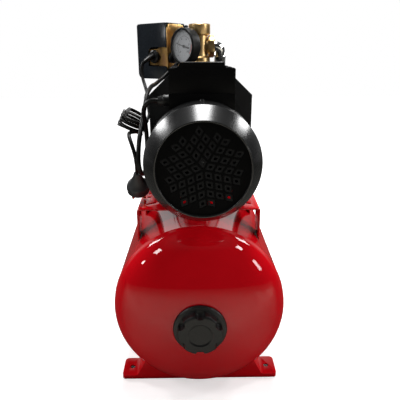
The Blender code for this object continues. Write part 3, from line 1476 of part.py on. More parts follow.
def motor_lead():
    # From the switch over the pump's left shoulder to the terminal box.
    mains_place, (lead_across, lead_z) = gland_places()
    reach = switch_distance - 7 * mm - gap
    box_x = pump_x - box_width / 2 - gap - 17 * mm - gap
    lead = [switch_point(reach, lead_across, lead_z),
            switch_point(reach - 6 * mm, lead_across, lead_z - 1 * mm),
            beside_pump(46, 103.1, 128), beside_pump(40.5, 96.1, 120), beside_pump(31, 90.1, 112),
            beside_pump(18.9, 74.1, 100.5), beside_pump(7.5, 44.1, 91), beside_pump(4.5, 9.1, 90),
            beside_pump(1.5, -11.9, 85.5), beside_pump(-1, -32.9, 78), beside_pump(-2.5, -45.9, 65.5),
            beside_pump(-4.5, -58.9, 52.5), beside_pump(-6.5, -76.9, 36.5),
            beside_pump(-8, -94.9, 20.5), beside_pump(-9, -106.9, 3.5), beside_pump(-9.2, -112.4, -13.5),
            beside_pump(-8.2, -110.4, -25.5), beside_pump(-6.7, -102.9, -34.5),
            beside_pump(-5, -89.9, -38.5), beside_pump(-3, -76.9, -34.5), beside_pump(-1.5, -69.4, -25.5),
            beside_pump(-0.5, -66.9, -13.5), beside_pump(0, -66.9, 2), beside_pump(0.2, -69.9, 18),
            beside_pump(0.2, -76.9, 33), beside_pump(0, -87.4, 46), beside_pump(0.2, -98.4, 57),
            beside_pump(2.7, -106.9, 67), beside_pump(8.2, -111.4, 74)]
    gland_mouth = Vector((box_x, box_gland_y(), box_gland_z()))
    lead += [gland_mouth + Vector((-8 * mm, 0.3 * mm, -0.2 * mm)), gland_mouth]
    tube("motor_lead", smooth_path(lead, 2), lead_radius, rubber)


def plug_place():
    # Where the cord meets the plug, and the way the plug's pins point.
    axis = Vector((-0.05, 0.5, -0.8646)).normalized()
    face = Vector((-bracket_width / 2 - 0.7 * mm, bracket_front + 41.5 * mm, bracket_top + 18.1 * mm))
    return face - axis * plug_length, axis


def plug():
    entry, axis = plug_place()
    length = plug_length
    profile = [(0, length), (17 * mm, length), (18.5 * mm, length - 2 * mm),
               (18.5 * mm, length - 15 * mm), (14 * mm, length - 22 * mm), (7 * mm, 12 * mm),
               (5 * mm, gap), (0, gap)]
    body = turned("mains_plug", profile, entry, axis, black_plastic)
    side = axis.cross(Vector(up)).normalized()
    for end in (-1, 1):
        join(body, rod("plug_pin", 2.4 * mm, 21 * mm,
                       entry + axis * (length - 2 * mm) + side * end * 9.5 * mm, axis))
    return body


def build():
    tank_shell()
    bladder()
    tank_flange()
    air_valve()
    valve_cap()
    foot("front_foot", foot_inset)
    foot("rear_foot", tank_length - foot_inset - foot_depth)
    pump_bracket()
    motor_housing()
    fan_end_shield()
    motor_bearings()
    stator()
    rotor()
    cooling_fan()
    fan_cowl()
    terminal_box()
    motor_adaptor()
    pump_casing()
    casing_parts()
    hydraulics()
    outlet_fitting()
    hose_parts()
    gauge()
    frames.append(switch_frame)
    switch_base()
    switch_cover()
    switch_parts()
    frames.pop()
    mains_cord()
    plug()
    motor_lead()


build()
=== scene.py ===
# Looks of the booster pump set: a red horizontal tank on two feet, the jet pump and its
# fan-cooled motor on a bracket, the brass five-way fitting with gauge and pressure switch,
# the braided hose behind, and the mains lead tied in a hank beside the pump.
from math import asin, cos, pi, radians, sin, sqrt
import bmesh
import bpy
from mathutils import Matrix, Vector

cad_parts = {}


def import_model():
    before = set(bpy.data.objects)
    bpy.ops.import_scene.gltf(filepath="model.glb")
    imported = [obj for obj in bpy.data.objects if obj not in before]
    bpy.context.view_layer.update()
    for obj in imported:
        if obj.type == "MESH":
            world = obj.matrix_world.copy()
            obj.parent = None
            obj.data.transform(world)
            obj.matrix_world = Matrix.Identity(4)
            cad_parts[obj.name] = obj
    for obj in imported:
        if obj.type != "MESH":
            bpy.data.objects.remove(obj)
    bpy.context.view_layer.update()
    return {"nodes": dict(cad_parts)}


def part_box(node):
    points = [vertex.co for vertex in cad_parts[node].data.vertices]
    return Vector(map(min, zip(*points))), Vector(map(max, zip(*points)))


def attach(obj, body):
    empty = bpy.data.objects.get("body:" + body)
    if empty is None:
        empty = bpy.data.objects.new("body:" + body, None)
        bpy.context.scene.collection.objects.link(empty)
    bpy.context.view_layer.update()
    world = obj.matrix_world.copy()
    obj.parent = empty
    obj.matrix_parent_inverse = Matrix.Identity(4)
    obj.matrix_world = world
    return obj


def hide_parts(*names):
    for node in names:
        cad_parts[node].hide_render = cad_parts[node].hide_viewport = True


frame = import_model()
mm = 0.001
cadNodes = frame["nodes"]


def at(x, y, z):
    return Vector((x, y, z)) * mm


def linked(name, data):
    made = bpy.data.objects.new(name, data)
    bpy.context.scene.collection.objects.link(made)
    return made


# Camera, found from the photograph's tank, cap, cowl and feet
view = {"place": (-0.0071, -0.7859, 0.5297), "down": 18.52, "turn": 0.82, "roll": 0.19, "lens": 38.69}
lensData = bpy.data.cameras.new("photoCamera")
lensData.lens = view["lens"]
lensData.sensor_width = 36
lensData.clip_start = 0.02
camera = linked("photoCamera", lensData)
turned = Matrix.Rotation(-radians(view["turn"]), 4, "Z")
tilted = Matrix.Rotation(radians(90 - view["down"]), 4, "X")
rolled = Matrix.Rotation(-radians(view["roll"]), 4, "Z")
camera.matrix_world = Matrix.Translation(view["place"]) @ (turned @ tilted) @ rolled
bpy.context.scene.camera = camera
bpy.context.scene.view_settings.view_transform = "Standard"


# Finishes: a wire is a socket that can be added, multiplied and so on

class Wire:
    def __init__(self, finish, socket):
        self.finish = finish
        self.socket = socket

    def work(self, operation, first, second):
        return self.finish.add("ShaderNodeMath", {"operation": operation}, {0: first, 1: second})

    def __add__(self, other):
        return self.work("ADD", self, other)

    def __radd__(self, other):
        return self.work("ADD", other, self)

    def __sub__(self, other):
        return self.work("SUBTRACT", self, other)

    def __rsub__(self, other):
        return self.work("SUBTRACT", other, self)

    def __mul__(self, other):
        return self.work("MULTIPLY", self, other)

    def __rmul__(self, other):
        return self.work("MULTIPLY", other, self)

    def __pow__(self, other):
        return self.work("POWER", self, other)


class Finish:
    def __init__(self, name, store=bpy.data.materials, skin="Principled BSDF"):
        self.look = store.new(name)
        self.look.use_nodes = True
        self.nodes = self.look.node_tree.nodes
        self.links = self.look.node_tree.links
        self.skin = self.nodes[skin]

    def feed(self, socket, value):
        if isinstance(value, Wire):
            self.links.new(value.socket, socket)
        elif isinstance(value, tuple) and socket.type == "RGBA":
            socket.default_value = (*value, 1)
        else:
            socket.default_value = value

    def add(self, kind, settings=None, values=None, out=0):
        node = self.nodes.new(kind)
        for key, value in (settings or {}).items():
            if key == "stops":
                self.setStops(node.color_ramp, value)
            else:
                setattr(node, key, value)
        for key, value in (values or {}).items():
            self.feed(node.inputs[key], value)
        return Wire(self, node.outputs[out])

    def setStops(self, ramp, stops):
        while len(ramp.elements) < len(stops):
            ramp.elements.new(0.5)
        for element, (spot, shade) in zip(ramp.elements, stops):
            element.position = spot
            element.color = (shade, shade, shade, 1) if isinstance(shade, float) else (*shade, 1)

    def spots(self, out="Object"):
        return self.add("ShaderNodeTexCoord", None, None, out)

    def noise(self, scale, detail=3.0, rough=0.5):
        values = {"Vector": self.spots(), "Scale": scale, "Detail": detail, "Roughness": rough}
        return self.add("ShaderNodeTexNoise", None, values)

    def ramp(self, factor, stops):
        return self.add("ShaderNodeValToRGB", {"stops": stops}, {0: factor})

    def blend(self, factor, first, second):
        return self.add("ShaderNodeMix", {"data_type": "RGBA"}, {0: factor, 6: first, 7: second}, 2)

    def choose(self, factor, first, second):
        return self.add("ShaderNodeMix", {"data_type": "FLOAT"}, {0: factor, 2: first, 3: second})

    def most(self, first, second):
        return self.add("ShaderNodeMath", {"operation": "MAXIMUM"}, {0: first, 1: second})

    def wave(self, turns):
        return self.add("ShaderNodeMath", {"operation": "SINE"}, {0: turns * (2 * pi)})

    def rays(self, kind):
        return self.add("ShaderNodeLightPath", None, None, kind)

    def split(self, vector, out):
        return self.add("ShaderNodeSeparateXYZ", None, {0: vector}, out)

    def bump(self, height, distance, strength):
        values = {"Height": height, "Distance": distance, "Strength": strength}
        return self.add("ShaderNodeBump", None, values)

    def surface(self, **values):
        for key, value in values.items():
            self.feed(self.skin.inputs[key.replace("_", " ")], value)
        return self.look


def redPaint():
    f = Finish("redPaint")
    cloud = f.noise(9, 4, 0.6)
    peel = f.noise(420, 2, 0.4)
    dust = f.ramp(f.noise(1500, 3, 0.7), [(0.0, 0.0), (0.735, 0.0), (0.76, 1.0)])
    tone = f.blend(cloud, (0.50, 0.0015, 0.005), (0.60, 0.003, 0.009))
    tone = f.blend(dust * 0.5, tone, (0.75, 0.22, 0.2))
    return f.surface(Base_Color=tone, Roughness=f.noise(60, 3) * 0.12 + 0.30, Specular_IOR_Level=0.0,
                     Coat_Weight=0.62, Coat_Roughness=0.035, Coat_IOR=1.5,
                     Normal=f.bump(peel, 0.00002, 0.25))


def blackPaint(name, base, rough, grain, depth, level):
    f = Finish(name)
    cloud = f.noise(30, 4, 0.6)
    fine = f.noise(grain, 4, 0.6)
    tone = f.blend(cloud, (base * 0.8, base * 0.8, base * 0.82), (base * 1.3, base * 1.3, base * 1.28))
    return f.surface(Base_Color=tone, Roughness=cloud * 0.14 + (rough - 0.07), Specular_IOR_Level=level,
                     Normal=f.bump(fine, depth, 0.6))


def bezelBlack():
    f = Finish("bezelBlack")
    cloud = f.noise(22, 4, 0.6)
    fine = f.noise(2600, 2, 0.5)
    tone = f.blend(cloud, (0.006, 0.0062, 0.0066), (0.011, 0.011, 0.0108))
    return f.surface(Base_Color=tone, Roughness=cloud * 0.06 + 0.2, Specular_IOR_Level=0.5,
                     Normal=f.bump(fine, 0.000008, 0.5))


def metal(name, low, high, rough, grain, depth=0.00002):
    f = Finish(name)
    cloud = f.noise(18, 5, 0.65)
    fine = f.noise(grain, 3, 0.55)
    return f.surface(Base_Color=f.blend(cloud, low, high), Metallic=1.0,
                     Roughness=fine * 0.16 + (rough - 0.08), Normal=f.bump(fine, depth, 0.5))


def zincTan():
    # Passivated sheet: yellow with faint rose and green clouds.
    f = Finish("zincTan")
    cloud = f.noise(26, 5, 0.7)
    tone = f.ramp(cloud, [(0.3, (0.42, 0.26, 0.09)), (0.5, (0.6, 0.36, 0.13)), (0.62, (0.55, 0.3, 0.15)),
                          (0.75, (0.44, 0.34, 0.12))])
    return f.surface(Base_Color=tone, Metallic=1.0, Roughness=cloud * 0.2 + 0.2,
                     Normal=f.bump(f.noise(500), 0.00001, 0.4))


def braid():
    # Two bands of steel wires that cross, with painted shade between the wires and a painted sheen on their
    # crowns; U runs along the hose in metres, V round it.
    f = Finish("steelBraid")
    along = f.split(f.spots("UV"), 0)
    around = f.split(f.spots("UV"), 1)
    lean = along * 52.0
    high = f.most(f.wave(around * 12.0 + lean), f.wave(around * 12.0 - lean))
    height = high + f.wave(around * 72.0 + lean * 6.0) * 0.12
    # Painted shade and sheen: the tone follows the wire height, darker in the low spots between the wires
    # and lighter on the crowns.
    tone = f.ramp(high * 0.5 + 0.5, [(0.2, (0.04, 0.04, 0.042)), (0.55, (0.34, 0.34, 0.34)),
                                     (1.0, (0.7, 0.7, 0.69))])
    return f.surface(Base_Color=tone, Metallic=1.0, Roughness=0.28, Normal=f.bump(height, 0.0004, 1.0))


def plain(name, low, high, rough, level, patch=40):
    f = Finish(name)
    cloud = f.noise(patch, 4, 0.6)
    return f.surface(Base_Color=f.blend(cloud, low, high), Roughness=cloud * 0.12 + (rough - 0.06),
                     Specular_IOR_Level=level, Normal=f.bump(f.noise(900), 0.00001, 0.4))


def clearGlass():
    f = Finish("clearGlass")
    smear = f.noise(30, 3)
    return f.surface(Base_Color=(0.9, 0.92, 0.92), Roughness=smear * 0.06, Alpha=smear * 0.06 + 0.05)


finishes = {
    "redPaint": redPaint(),
    "castBlack": blackPaint("castBlack", 0.007, 0.4, 340, 0.00012, 0.16),
    "finBlack": blackPaint("finBlack", 0.006, 0.38, 700, 0.00004, 0.2),
    "bezelBlack": bezelBlack(),
    "grilleBlack": blackPaint("grilleBlack", 0.002, 0.5, 900, 0.00002, 0.04),
    "grilleGrey": blackPaint("grilleGrey", 0.010, 0.46, 900, 0.00002, 0.1),
    "boxBlack": blackPaint("boxBlack", 0.0025, 0.36, 1100, 0.00003, 0.1),
    "hoodBlack": plain("hoodBlack", (0.011, 0.014, 0.018), (0.016, 0.02, 0.025), 0.16, 0.5),
    "capBlack": blackPaint("capBlack", 0.008, 0.34, 1300, 0.00002, 0.25),
    "plugGrey": plain("plugGrey", (0.016, 0.017, 0.018), (0.03, 0.031, 0.032), 0.42, 0.4),
    "fanGrey": plain("fanGrey", (0.010, 0.010, 0.011), (0.02, 0.02, 0.02), 0.5, 0.3),
    "cable": plain("cable", (0.005, 0.005, 0.005), (0.01, 0.0095, 0.009), 0.34, 0.12, 60),
    "brass": metal("brass", (0.60, 0.40, 0.17), (0.78, 0.54, 0.26), 0.36, 160),
    "chrome": metal("chrome", (0.66, 0.66, 0.67), (0.78, 0.78, 0.79), 0.12, 60, 0.000006),
    "zincSteel": metal("zincSteel", (0.42, 0.43, 0.45), (0.62, 0.63, 0.65), 0.34, 240),
    "innerSteel": metal("innerSteel", (0.28, 0.28, 0.3), (0.46, 0.46, 0.48), 0.4, 240),
    "zincTan": zincTan(),
    "steelBraid": braid(),
    "rubber": plain("rubber", (0.014, 0.014, 0.014), (0.03, 0.03, 0.03), 0.72, 0.3),
    "copper": metal("copper", (0.55, 0.2, 0.09), (0.78, 0.34, 0.17), 0.35, 700, 0.0001),
    "dialWhite": plain("dialWhite", (0.36, 0.37, 0.39), (0.46, 0.47, 0.49), 0.5, 0.4, 60),
    "inkBlack": plain("inkBlack", (0.012, 0.012, 0.013), (0.03, 0.03, 0.03), 0.5, 0.3),
    "inkRed": plain("inkRed", (0.45, 0.02, 0.015), (0.6, 0.04, 0.03), 0.5, 0.3),
    "carbon": plain("carbon", (0.02, 0.02, 0.022), (0.05, 0.05, 0.055), 0.4, 0.5),
    "clearGlass": clearGlass(),
}
print("camera and", len(finishes), "finishes")


# Mesh helpers

def toObject(name, shape, sharp=32, outward=True):
    if outward:
        bmesh.ops.recalc_face_normals(shape, faces=shape.faces)
    mesh = bpy.data.meshes.new(name)
    shape.to_mesh(mesh)
    shape.free()
    return meshObject(name, mesh, sharp)


def meshObject(name, mesh, sharp=32):
    mesh.shade_smooth()
    mesh.set_sharp_from_angle(angle=radians(sharp))
    return linked(name, mesh)


def meshOf(made):
    # The plain mesh that an object's curve, letters or modifiers make.
    bpy.context.view_layer.update()
    return bpy.data.meshes.new_from_object(made.evaluated_get(bpy.context.evaluated_depsgraph_get()))


def settle(made, sharp=32):
    # Turns what the modifiers make into the piece's own plain mesh.
    mesh = meshOf(made)
    made.modifiers.clear()
    made.data = mesh
    mesh.shade_smooth()
    mesh.set_sharp_from_angle(angle=radians(sharp))
    return made


def soften(made, width, segments=2, angle=32):
    edge = made.modifiers.new("edge", "BEVEL")
    edge.width = width * mm
    edge.segments = segments
    edge.limit_method = "ANGLE"
    edge.angle_limit = radians(angle)
    edge.miter_outer = "MITER_ARC"
    return settle(made, 40)


def cadShape(node):
    # A CAD node's mesh, joined up again and with whole flat faces.
    shape = bmesh.new()
    shape.from_mesh(cadNodes[node].data)
    bmesh.ops.remove_doubles(shape, verts=shape.verts, dist=0.00002)
    bmesh.ops.dissolve_limit(shape, angle_limit=radians(1), verts=shape.verts, edges=shape.edges)
    return shape


def eased(profile, radius):
    # Rounds the corners of a closed (radius, height) outline.
    done = []
    count = len(profile)
    steps = 3
    for i, spot in enumerate(profile):
        here = Vector(spot)
        before = Vector(profile[i - 1])
        after = Vector(profile[(i + 1) % count])
        a = before - here
        b = after - here
        if a.length < 0.01 or b.length < 0.01 or here.x < 0.01:
            done.append(tuple(here))
            continue
        bend = a.angle(b)
        reach = min(radius / max(0.2, abs(sin(bend / 2) / cos(bend / 2))) if bend < 3.1 else 0,
                    a.length * 0.45, b.length * 0.45)
        if bend > radians(158) or reach < 0.05:
            done.append(tuple(here))
            continue
        start = here + a.normalized() * reach
        end = here + b.normalized() * reach
        for k in range(steps + 1):
            t = k / steps
            done.append(tuple((1 - t) ** 2 * start + 2 * t * (1 - t) * here + t * t * end))
    return done


def frameOf(direction):
    return Vector(direction).to_track_quat("Z", "Y").to_matrix()


def angles(count, start=0.0):
    return [start + 2 * pi * i / count for i in range(count)]


def polar(radius, turns):
    return [(radius * cos(a), radius * sin(a)) for a in turns]


def latheInto(shape, profile, centre, direction, steps):
    turn = frameOf(direction)
    rings = []
    for radius, height in profile:
        count = 1 if radius < 0.001 else steps
        ring = []
        for i in range(count):
            a = 2 * pi * i / steps
            spot = Vector((radius * cos(a), radius * sin(a), height)) * mm
            ring.append(shape.verts.new(Vector(centre) + turn @ spot))
        rings.append(ring)
    for one, two in zip(rings, rings[1:] + rings[:1]):
        for i in range(steps):
            j = (i + 1) % steps
            corners = [one[i % len(one)], one[j % len(one)], two[j % len(two)], two[i % len(two)]]
            kept = [v for k, v in enumerate(corners) if v not in corners[:k]]
            if len(kept) > 2:
                shape.faces.new(kept)


def several(name, turns, steps, sharp=32):
    # Some lathe pieces in one object: (profile, centre, direction, ease).
    shape = bmesh.new()
    for profile, centre, direction, ease in turns:
        latheInto(shape, eased(profile, ease) if ease else profile, centre, direction, steps)
    return toObject(name, shape, sharp)


def lathe(name, profile, centre, direction, steps=96, ease=0.0, sharp=32):
    return several(name, [(profile, centre, direction, ease)], steps, sharp)


def smoothPath(points, span):
    path = []
    spots = [Vector(p) for p in points]
    ends = [spots[0] * 2 - spots[1]] + spots + [spots[-1] * 2 - spots[-2]]
    for i in range(1, len(ends) - 2):
        a, b, c, d = ends[i - 1:i + 3]
        for k in range(span):
            t = k / span
            path.append(0.5 * ((2 * b) + (c - a) * t + (2 * a - 5 * b + 4 * c - d) * t ** 2
                               + (3 * b - a - 3 * c + d) * t ** 3))
    return path + [spots[-1]]


def pathLength(path):
    return sum((b - a).length for a, b in zip(path, path[1:]))


def sweep(name, path, radii, sharp=50):
    # A closed tube of changing radius, with U along it in metres and V round it.
    sides = 28
    shape = bmesh.new()
    layer = shape.loops.layers.uv.new("UVMap")
    rings = []
    gone = [0.0]
    for a, b in zip(path, path[1:]):
        gone.append(gone[-1] + (b - a).length)
    side = None
    for i, spot in enumerate(path):
        way = (path[min(i + 1, len(path) - 1)] - path[max(i - 1, 0)]).normalized()
        if side is None:
            side = way.orthogonal().normalized()
        side = (side - way * side.dot(way)).normalized()
        other = way.cross(side)
        radius = radii[i] if isinstance(radii, list) else radii
        rings.append([shape.verts.new(spot + (side * cos(a) + other * sin(a)) * radius)
                      for a in angles(sides)])
    for i, (one, two) in enumerate(zip(rings, rings[1:])):
        for k in range(sides):
            n = (k + 1) % sides
            face = shape.faces.new([one[k], one[n], two[n], two[k]])
            marks = [(gone[i], k / sides), (gone[i], (k + 1) / sides),
                     (gone[i + 1], (k + 1) / sides), (gone[i + 1], k / sides)]
            for loop, mark in zip(face.loops, marks):
                loop[layer].uv = mark
    shape.faces.new(rings[0])
    shape.faces.new(rings[-1])
    return toObject(name, shape, sharp)


def prism(name, loop, thickness, centre, turn, holes=(), width=0.0, segments=2):
    # A flat outline in millimetres, extruded evenly about its own plane.
    curve = bpy.data.curves.new(name, "CURVE")
    curve.dimensions = "2D"
    curve.fill_mode = "BOTH"
    curve.extrude = thickness * mm / 2
    for ring in [loop] + list(holes):
        spline = curve.splines.new("POLY")
        spline.points.add(len(ring) - 1)
        for point, (x, y) in zip(spline.points, ring):
            point.co = (x * mm, y * mm, 0, 1)
        spline.use_cyclic_u = True
    flat = linked(name, curve)
    mesh = meshOf(flat)
    bpy.data.objects.remove(flat)
    shape = bmesh.new()
    shape.from_mesh(mesh)
    bmesh.ops.remove_doubles(shape, verts=shape.verts, dist=0.00001)
    bmesh.ops.dissolve_limit(shape, angle_limit=radians(0.5), verts=shape.verts, edges=shape.edges)
    bmesh.ops.transform(shape, matrix=Matrix.Translation(centre) @ turn.to_4x4(), verts=shape.verts)
    made = toObject(name, shape)
    return soften(made, width, segments) if width else made


def hexPiece(name, flats, length, centre, direction, bore=0.0, chamfer=1.6):
    # A hexagon with turned-off corners at both ends.
    shape = bmesh.new()
    steps = 48
    turn = frameOf(direction)
    tip = length / 2
    corner = flats / sqrt(3) * 1.012
    levels = [(-tip, flats / 2 * 1.012), (-tip + chamfer, corner), (tip - chamfer, corner),
              (tip, flats / 2 * 1.012)]
    if bore:
        levels += [(tip, bore), (-tip, bore)]
    rings = []
    for height, limit in levels:
        loop = []
        for a in angles(steps):
            inside = (a + pi / 6) % (pi / 3) - pi / 6
            radius = min(flats / 2 / cos(inside), limit)
            spot = Vector((radius * cos(a), radius * sin(a), height)) * mm
            loop.append(shape.verts.new(Vector(centre) + turn @ spot))
        rings.append(loop)
    for one, two in zip(rings, rings[1:] + (rings[:1] if bore else [])):
        for i in range(steps):
            j = (i + 1) % steps
            shape.faces.new([one[i], one[j], two[j], two[i]])
    if not bore:
        shape.faces.new(rings[0])
        shape.faces.new(rings[-1])
    return toObject(name, shape, 25)


def cutAway(made, cutters):
    for cutter in cutters:
        knife = made.modifiers.new("cut", "BOOLEAN")
        knife.operation = "DIFFERENCE"
        knife.solver = "EXACT"
        knife.object = cutter
        settle(made)
        bpy.data.objects.remove(cutter)


def joined(name, pieces):
    shape = bmesh.new()
    for piece in pieces:
        shape.from_mesh(piece.data)
        bpy.data.objects.remove(piece)
    return toObject(name, shape, outward=False)


def dress(made, finish, slot, *nodes, body="pump_set"):
    # Gives a piece its finish, its body and the CAD nodes that it stands for.
    made.data.materials.clear()
    made.data.materials.append(finishes[finish])
    for polygon in getattr(made.data, "polygons", []):
        polygon.material_index = 0
    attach(made, body)
    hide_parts(*nodes)
    return made


def polished(name, node, width, finish, slot, segments=2, body="pump_set"):
    # A CAD node's own shape with eased edges.
    made = soften(toObject(name, cadShape(node), outward=False), width, segments)
    dress(made, finish, slot, node, body=body)


# Geometry Nodes: one item on every vertex of a carrier, turned and stretched by its attributes

def repeatTree():
    tree = bpy.data.node_groups.new("repeatItem", "GeometryNodeTree")
    tree.interface.new_socket("Geometry", in_out="INPUT", socket_type="NodeSocketGeometry")
    tree.interface.new_socket("Item", in_out="INPUT", socket_type="NodeSocketObject")
    size = tree.interface.new_socket("Size", in_out="INPUT", socket_type="NodeSocketFloat")
    size.default_value = 1.0
    tree.interface.new_socket("Finish", in_out="INPUT", socket_type="NodeSocketMaterial")
    tree.interface.new_socket("Geometry", in_out="OUTPUT", socket_type="NodeSocketGeometry")
    start = tree.nodes.new("NodeGroupInput")
    item = tree.nodes.new("GeometryNodeObjectInfo")
    marks = {}
    for label in ("turn", "stretch"):
        marks[label] = tree.nodes.new("GeometryNodeInputNamedAttribute")
        marks[label].data_type = "FLOAT_VECTOR"
        marks[label].inputs["Name"].default_value = label
    grow = tree.nodes.new("ShaderNodeVectorMath")
    grow.operation = "SCALE"
    put = tree.nodes.new("GeometryNodeInstanceOnPoints")
    real = tree.nodes.new("GeometryNodeRealizeInstances")
    paint = tree.nodes.new("GeometryNodeSetMaterial")
    end = tree.nodes.new("NodeGroupOutput")
    link = tree.links.new
    link(start.outputs["Item"], item.inputs["Object"])
    link(marks["stretch"].outputs["Attribute"], grow.inputs[0])
    link(start.outputs["Size"], grow.inputs["Scale"])
    link(start.outputs["Geometry"], put.inputs["Points"])
    link(item.outputs["Geometry"], put.inputs["Instance"])
    link(marks["turn"].outputs["Attribute"], put.inputs["Rotation"])
    link(grow.outputs["Vector"], put.inputs["Scale"])
    link(put.outputs["Instances"], real.inputs["Geometry"])
    link(real.outputs["Geometry"], paint.inputs["Geometry"])
    link(start.outputs["Finish"], paint.inputs["Material"])
    link(paint.outputs["Geometry"], end.inputs["Geometry"])
    return tree


itemTree = repeatTree()


def repeated(name, item, places, finish, size=1.0, sharp=32):
    # places: (spot, turn as a matrix, stretch).
    carrier = bpy.data.meshes.new(name)
    carrier.from_pydata([spot for spot, turn, stretch in places], [], [])
    turns = carrier.attributes.new("turn", "FLOAT_VECTOR", "POINT")
    stretches = carrier.attributes.new("stretch", "FLOAT_VECTOR", "POINT")
    for i, (spot, turn, stretch) in enumerate(places):
        turns.data[i].vector = turn.to_euler()
        stretches.data[i].vector = stretch
    made = linked(name, carrier)
    grower = made.modifiers.new("repeat", "NODES")
    grower.node_group = itemTree
    sockets = {s.name: s.identifier for s in itemTree.interface.items_tree if s.in_out == "INPUT"}
    grower[sockets["Item"]] = item
    grower[sockets["Size"]] = size
    grower[sockets["Finish"]] = finishes[finish]
    settle(made, sharp)
    bpy.data.objects.remove(item)
    return made


def boxItem(width, depth, height, ease=0.0):
    shape = bmesh.new()
    bmesh.ops.create_cube(shape, size=1, matrix=Matrix.Diagonal((width * mm, depth * mm, height * mm, 1)))
    made = toObject("item", shape)
    return soften(made, ease) if ease else made


straight = Matrix.Identity(3)
even = (1.0, 1.0, 1.0)
rightward = Vector((1, 0, 0))
forward = Vector((0, -1, 0))
backward = Vector((0, 1, 0))
upward = Vector((0, 0, 1))
upright = Matrix.Rotation(pi / 2, 3, "X")      # an outline drawn in X and Z


# The fitting's middle, with the ways of the switch, turned to the rear left, and of the gauge

fittingMiddle = at(5, 59.9, 546.5)
switchTurn = Matrix.Rotation(radians(-40), 3, "Z")
gaugeWay = Vector((-0.7314, -0.6820, 0)).normalized()


def switchPoint(out, across, height):
    return fittingMiddle + switchTurn @ (Vector((-out, -across, height)) * mm)


def besidePump(x, y, z):
    # From the casing's left shoulder, as in the part.
    return at(-82 + x, -34.1 + y, 391.5 + z)


# Mains cord: down from the switch, three turns and a part in a hank, and on to the plug

cordSizes = {"radius": 3.0, "half": 18.5, "run": 37.5, "layer": 6.6, "top": 10.0, "roll": 25}
hankMiddle = besidePump(-26.6, -10.9, 32.5)
hankTurn = Matrix.Rotation(radians(cordSizes["roll"]), 3, "Y")


def hankPoint(across, along, high):
    return hankMiddle + hankTurn @ (Vector((across, along, high)) * mm)


def plugPlace():
    axis = Vector((-0.05, 0.5, -0.8646)).normalized()
    face = at(-100.2, -97.0, 316.1)
    return face - axis * 42 * mm, axis


def mainsPath():
    s = cordSizes
    upper = [switchPoint(91, 32.3, -17.5), switchPoint(90, 41, -20)]
    upper += [besidePump(*spot) for spot in (
        (-18, 107.5, 128), (-22, 104.3, 120.5), (-22.5, 101.1, 108.5), (-20.5, 96.1, 97.5), (-17, 88.1, 88),
        (-13.5, 76.6, 80), (-10.5, 63.6, 74), (-8.5, 51.6, 67), (-7.1, 43, 57.5), (-5.8, 36.8, 48.5),
        (-4.6, 31.7, 39.4))]
    turns = [hankPoint(18.0, 34, 11.6), hankPoint(18.4, 23, 10.3)]
    drop = [s["top"], s["top"] - s["layer"], s["top"] - 2 * s["layer"], -9.4]
    for high, low, pull in zip(drop, drop[1:], (0.0, -2.6, -0.8)):
        reach = s["run"] + pull
        turns += [hankPoint(s["half"], y, high) for y in (10, -8, -25)]
        turns += [hankPoint(s["half"] * cos(a), -reach - s["half"] * sin(a), high)
                  for a in [pi * i / 8 for i in range(9)]]
        turns += [hankPoint(-s["half"], y, high) for y in (-24, -8, 8, 24)]
        for i in range(9):
            a = pi * i / 8
            turns.append(hankPoint(-s["half"] * cos(a), s["run"] + s["half"] * sin(a),
                                   high + (low - high) * i / 8))
        turns.append(hankPoint(s["half"], 24, low))
    turns += [hankPoint(*spot) for spot in ((18.3, 10, -9.4), (16.6, -6, -9.4), (12.8, -22, -9.4),
                                            (8.4, -36, -9.3), (5.2, -48, -9.1))]
    start = hankPoint(4, -59.6, -9)
    entry, axis = plugPlace()
    bend = [(0, 0, 0), (0, -4, 0), (1, -13.4, -1.6), (3.3, -21, -6.1), (6.4, -26.4, -13.1),
            (9.3, -29, -22.1), (11.3, -28.2, -32.7)]
    lower = [start + Vector(step) * mm for step in bend]
    lower += [entry - axis * 20 * mm, entry - axis * 10 * mm, entry]
    return smoothPath(upper + turns + lower, 3)


def cordCurve(name, path, radius):
    curve = bpy.data.curves.new(name, "CURVE")
    curve.dimensions = "3D"
    curve.bevel_depth = radius * mm
    curve.bevel_resolution = 4
    curve.use_fill_caps = True
    spline = curve.splines.new("POLY")
    spline.points.add(len(path) - 1)
    for point, spot in zip(spline.points, path):
        point.co = (*spot, 1)
    spline.use_smooth = True
    return linked(name, curve)


def plug():
    # Round two-pin plug, its grip drawn in towards the cord.
    entry, axis = plugPlace()
    profile = [(0, 42), (15.5, 42), (17, 41.4), (18.5, 39.6), (18.5, 29), (17.6, 26), (14.6, 22.5),
               (12.2, 19), (9.4, 13), (7.2, 9), (6.6, 5), (5.4, 0.3), (0, 0.3)]
    body = lathe("plugBody", profile, entry, axis, 64, 1.0, 40)
    side = axis.cross(upward).normalized()
    ridge = frameOf(axis)
    grips = []
    for a in angles(16):
        spot = entry + ridge @ (Vector((18.3 * cos(a), 18.3 * sin(a), 34.5)) * mm)
        grips.append((spot, ridge @ Matrix.Rotation(a, 3, "Z"), even))
    grips = repeated("plugGrips", boxItem(1.2, 2.6, 8, 0.4), grips, "plugGrey")
    dress(joined("plugShell", [body, grips]), "plugGrey", "black_plastic", "mains_plug")
    pinShape = [(0, 21), (1.4, 21), (2.4, 19.6), (2.4, 0), (0, 0)]
    pins = [(pinShape, entry + axis * 40 * mm + side * end * 9.5 * mm, axis, 0.0) for end in (-1, 1)]
    dress(several("plugPins", pins, 24), "brass", "brass", "mains_plug")


plug()
mainsRoute = mainsPath()
mainsCord = dress(cordCurve("mainsCord", mainsRoute, cordSizes["radius"]), "cable", "rubber",
                  "mains_cord_upper", "mains_cord_hank", "mains_cord_lower")
polished("hankTie", "cord_tie", 0.3, "capBlack", "black_plastic")
round(pathLength(mainsRoute), 4)
print("mains cord", round(pathLength(mainsRoute), 3), "m")


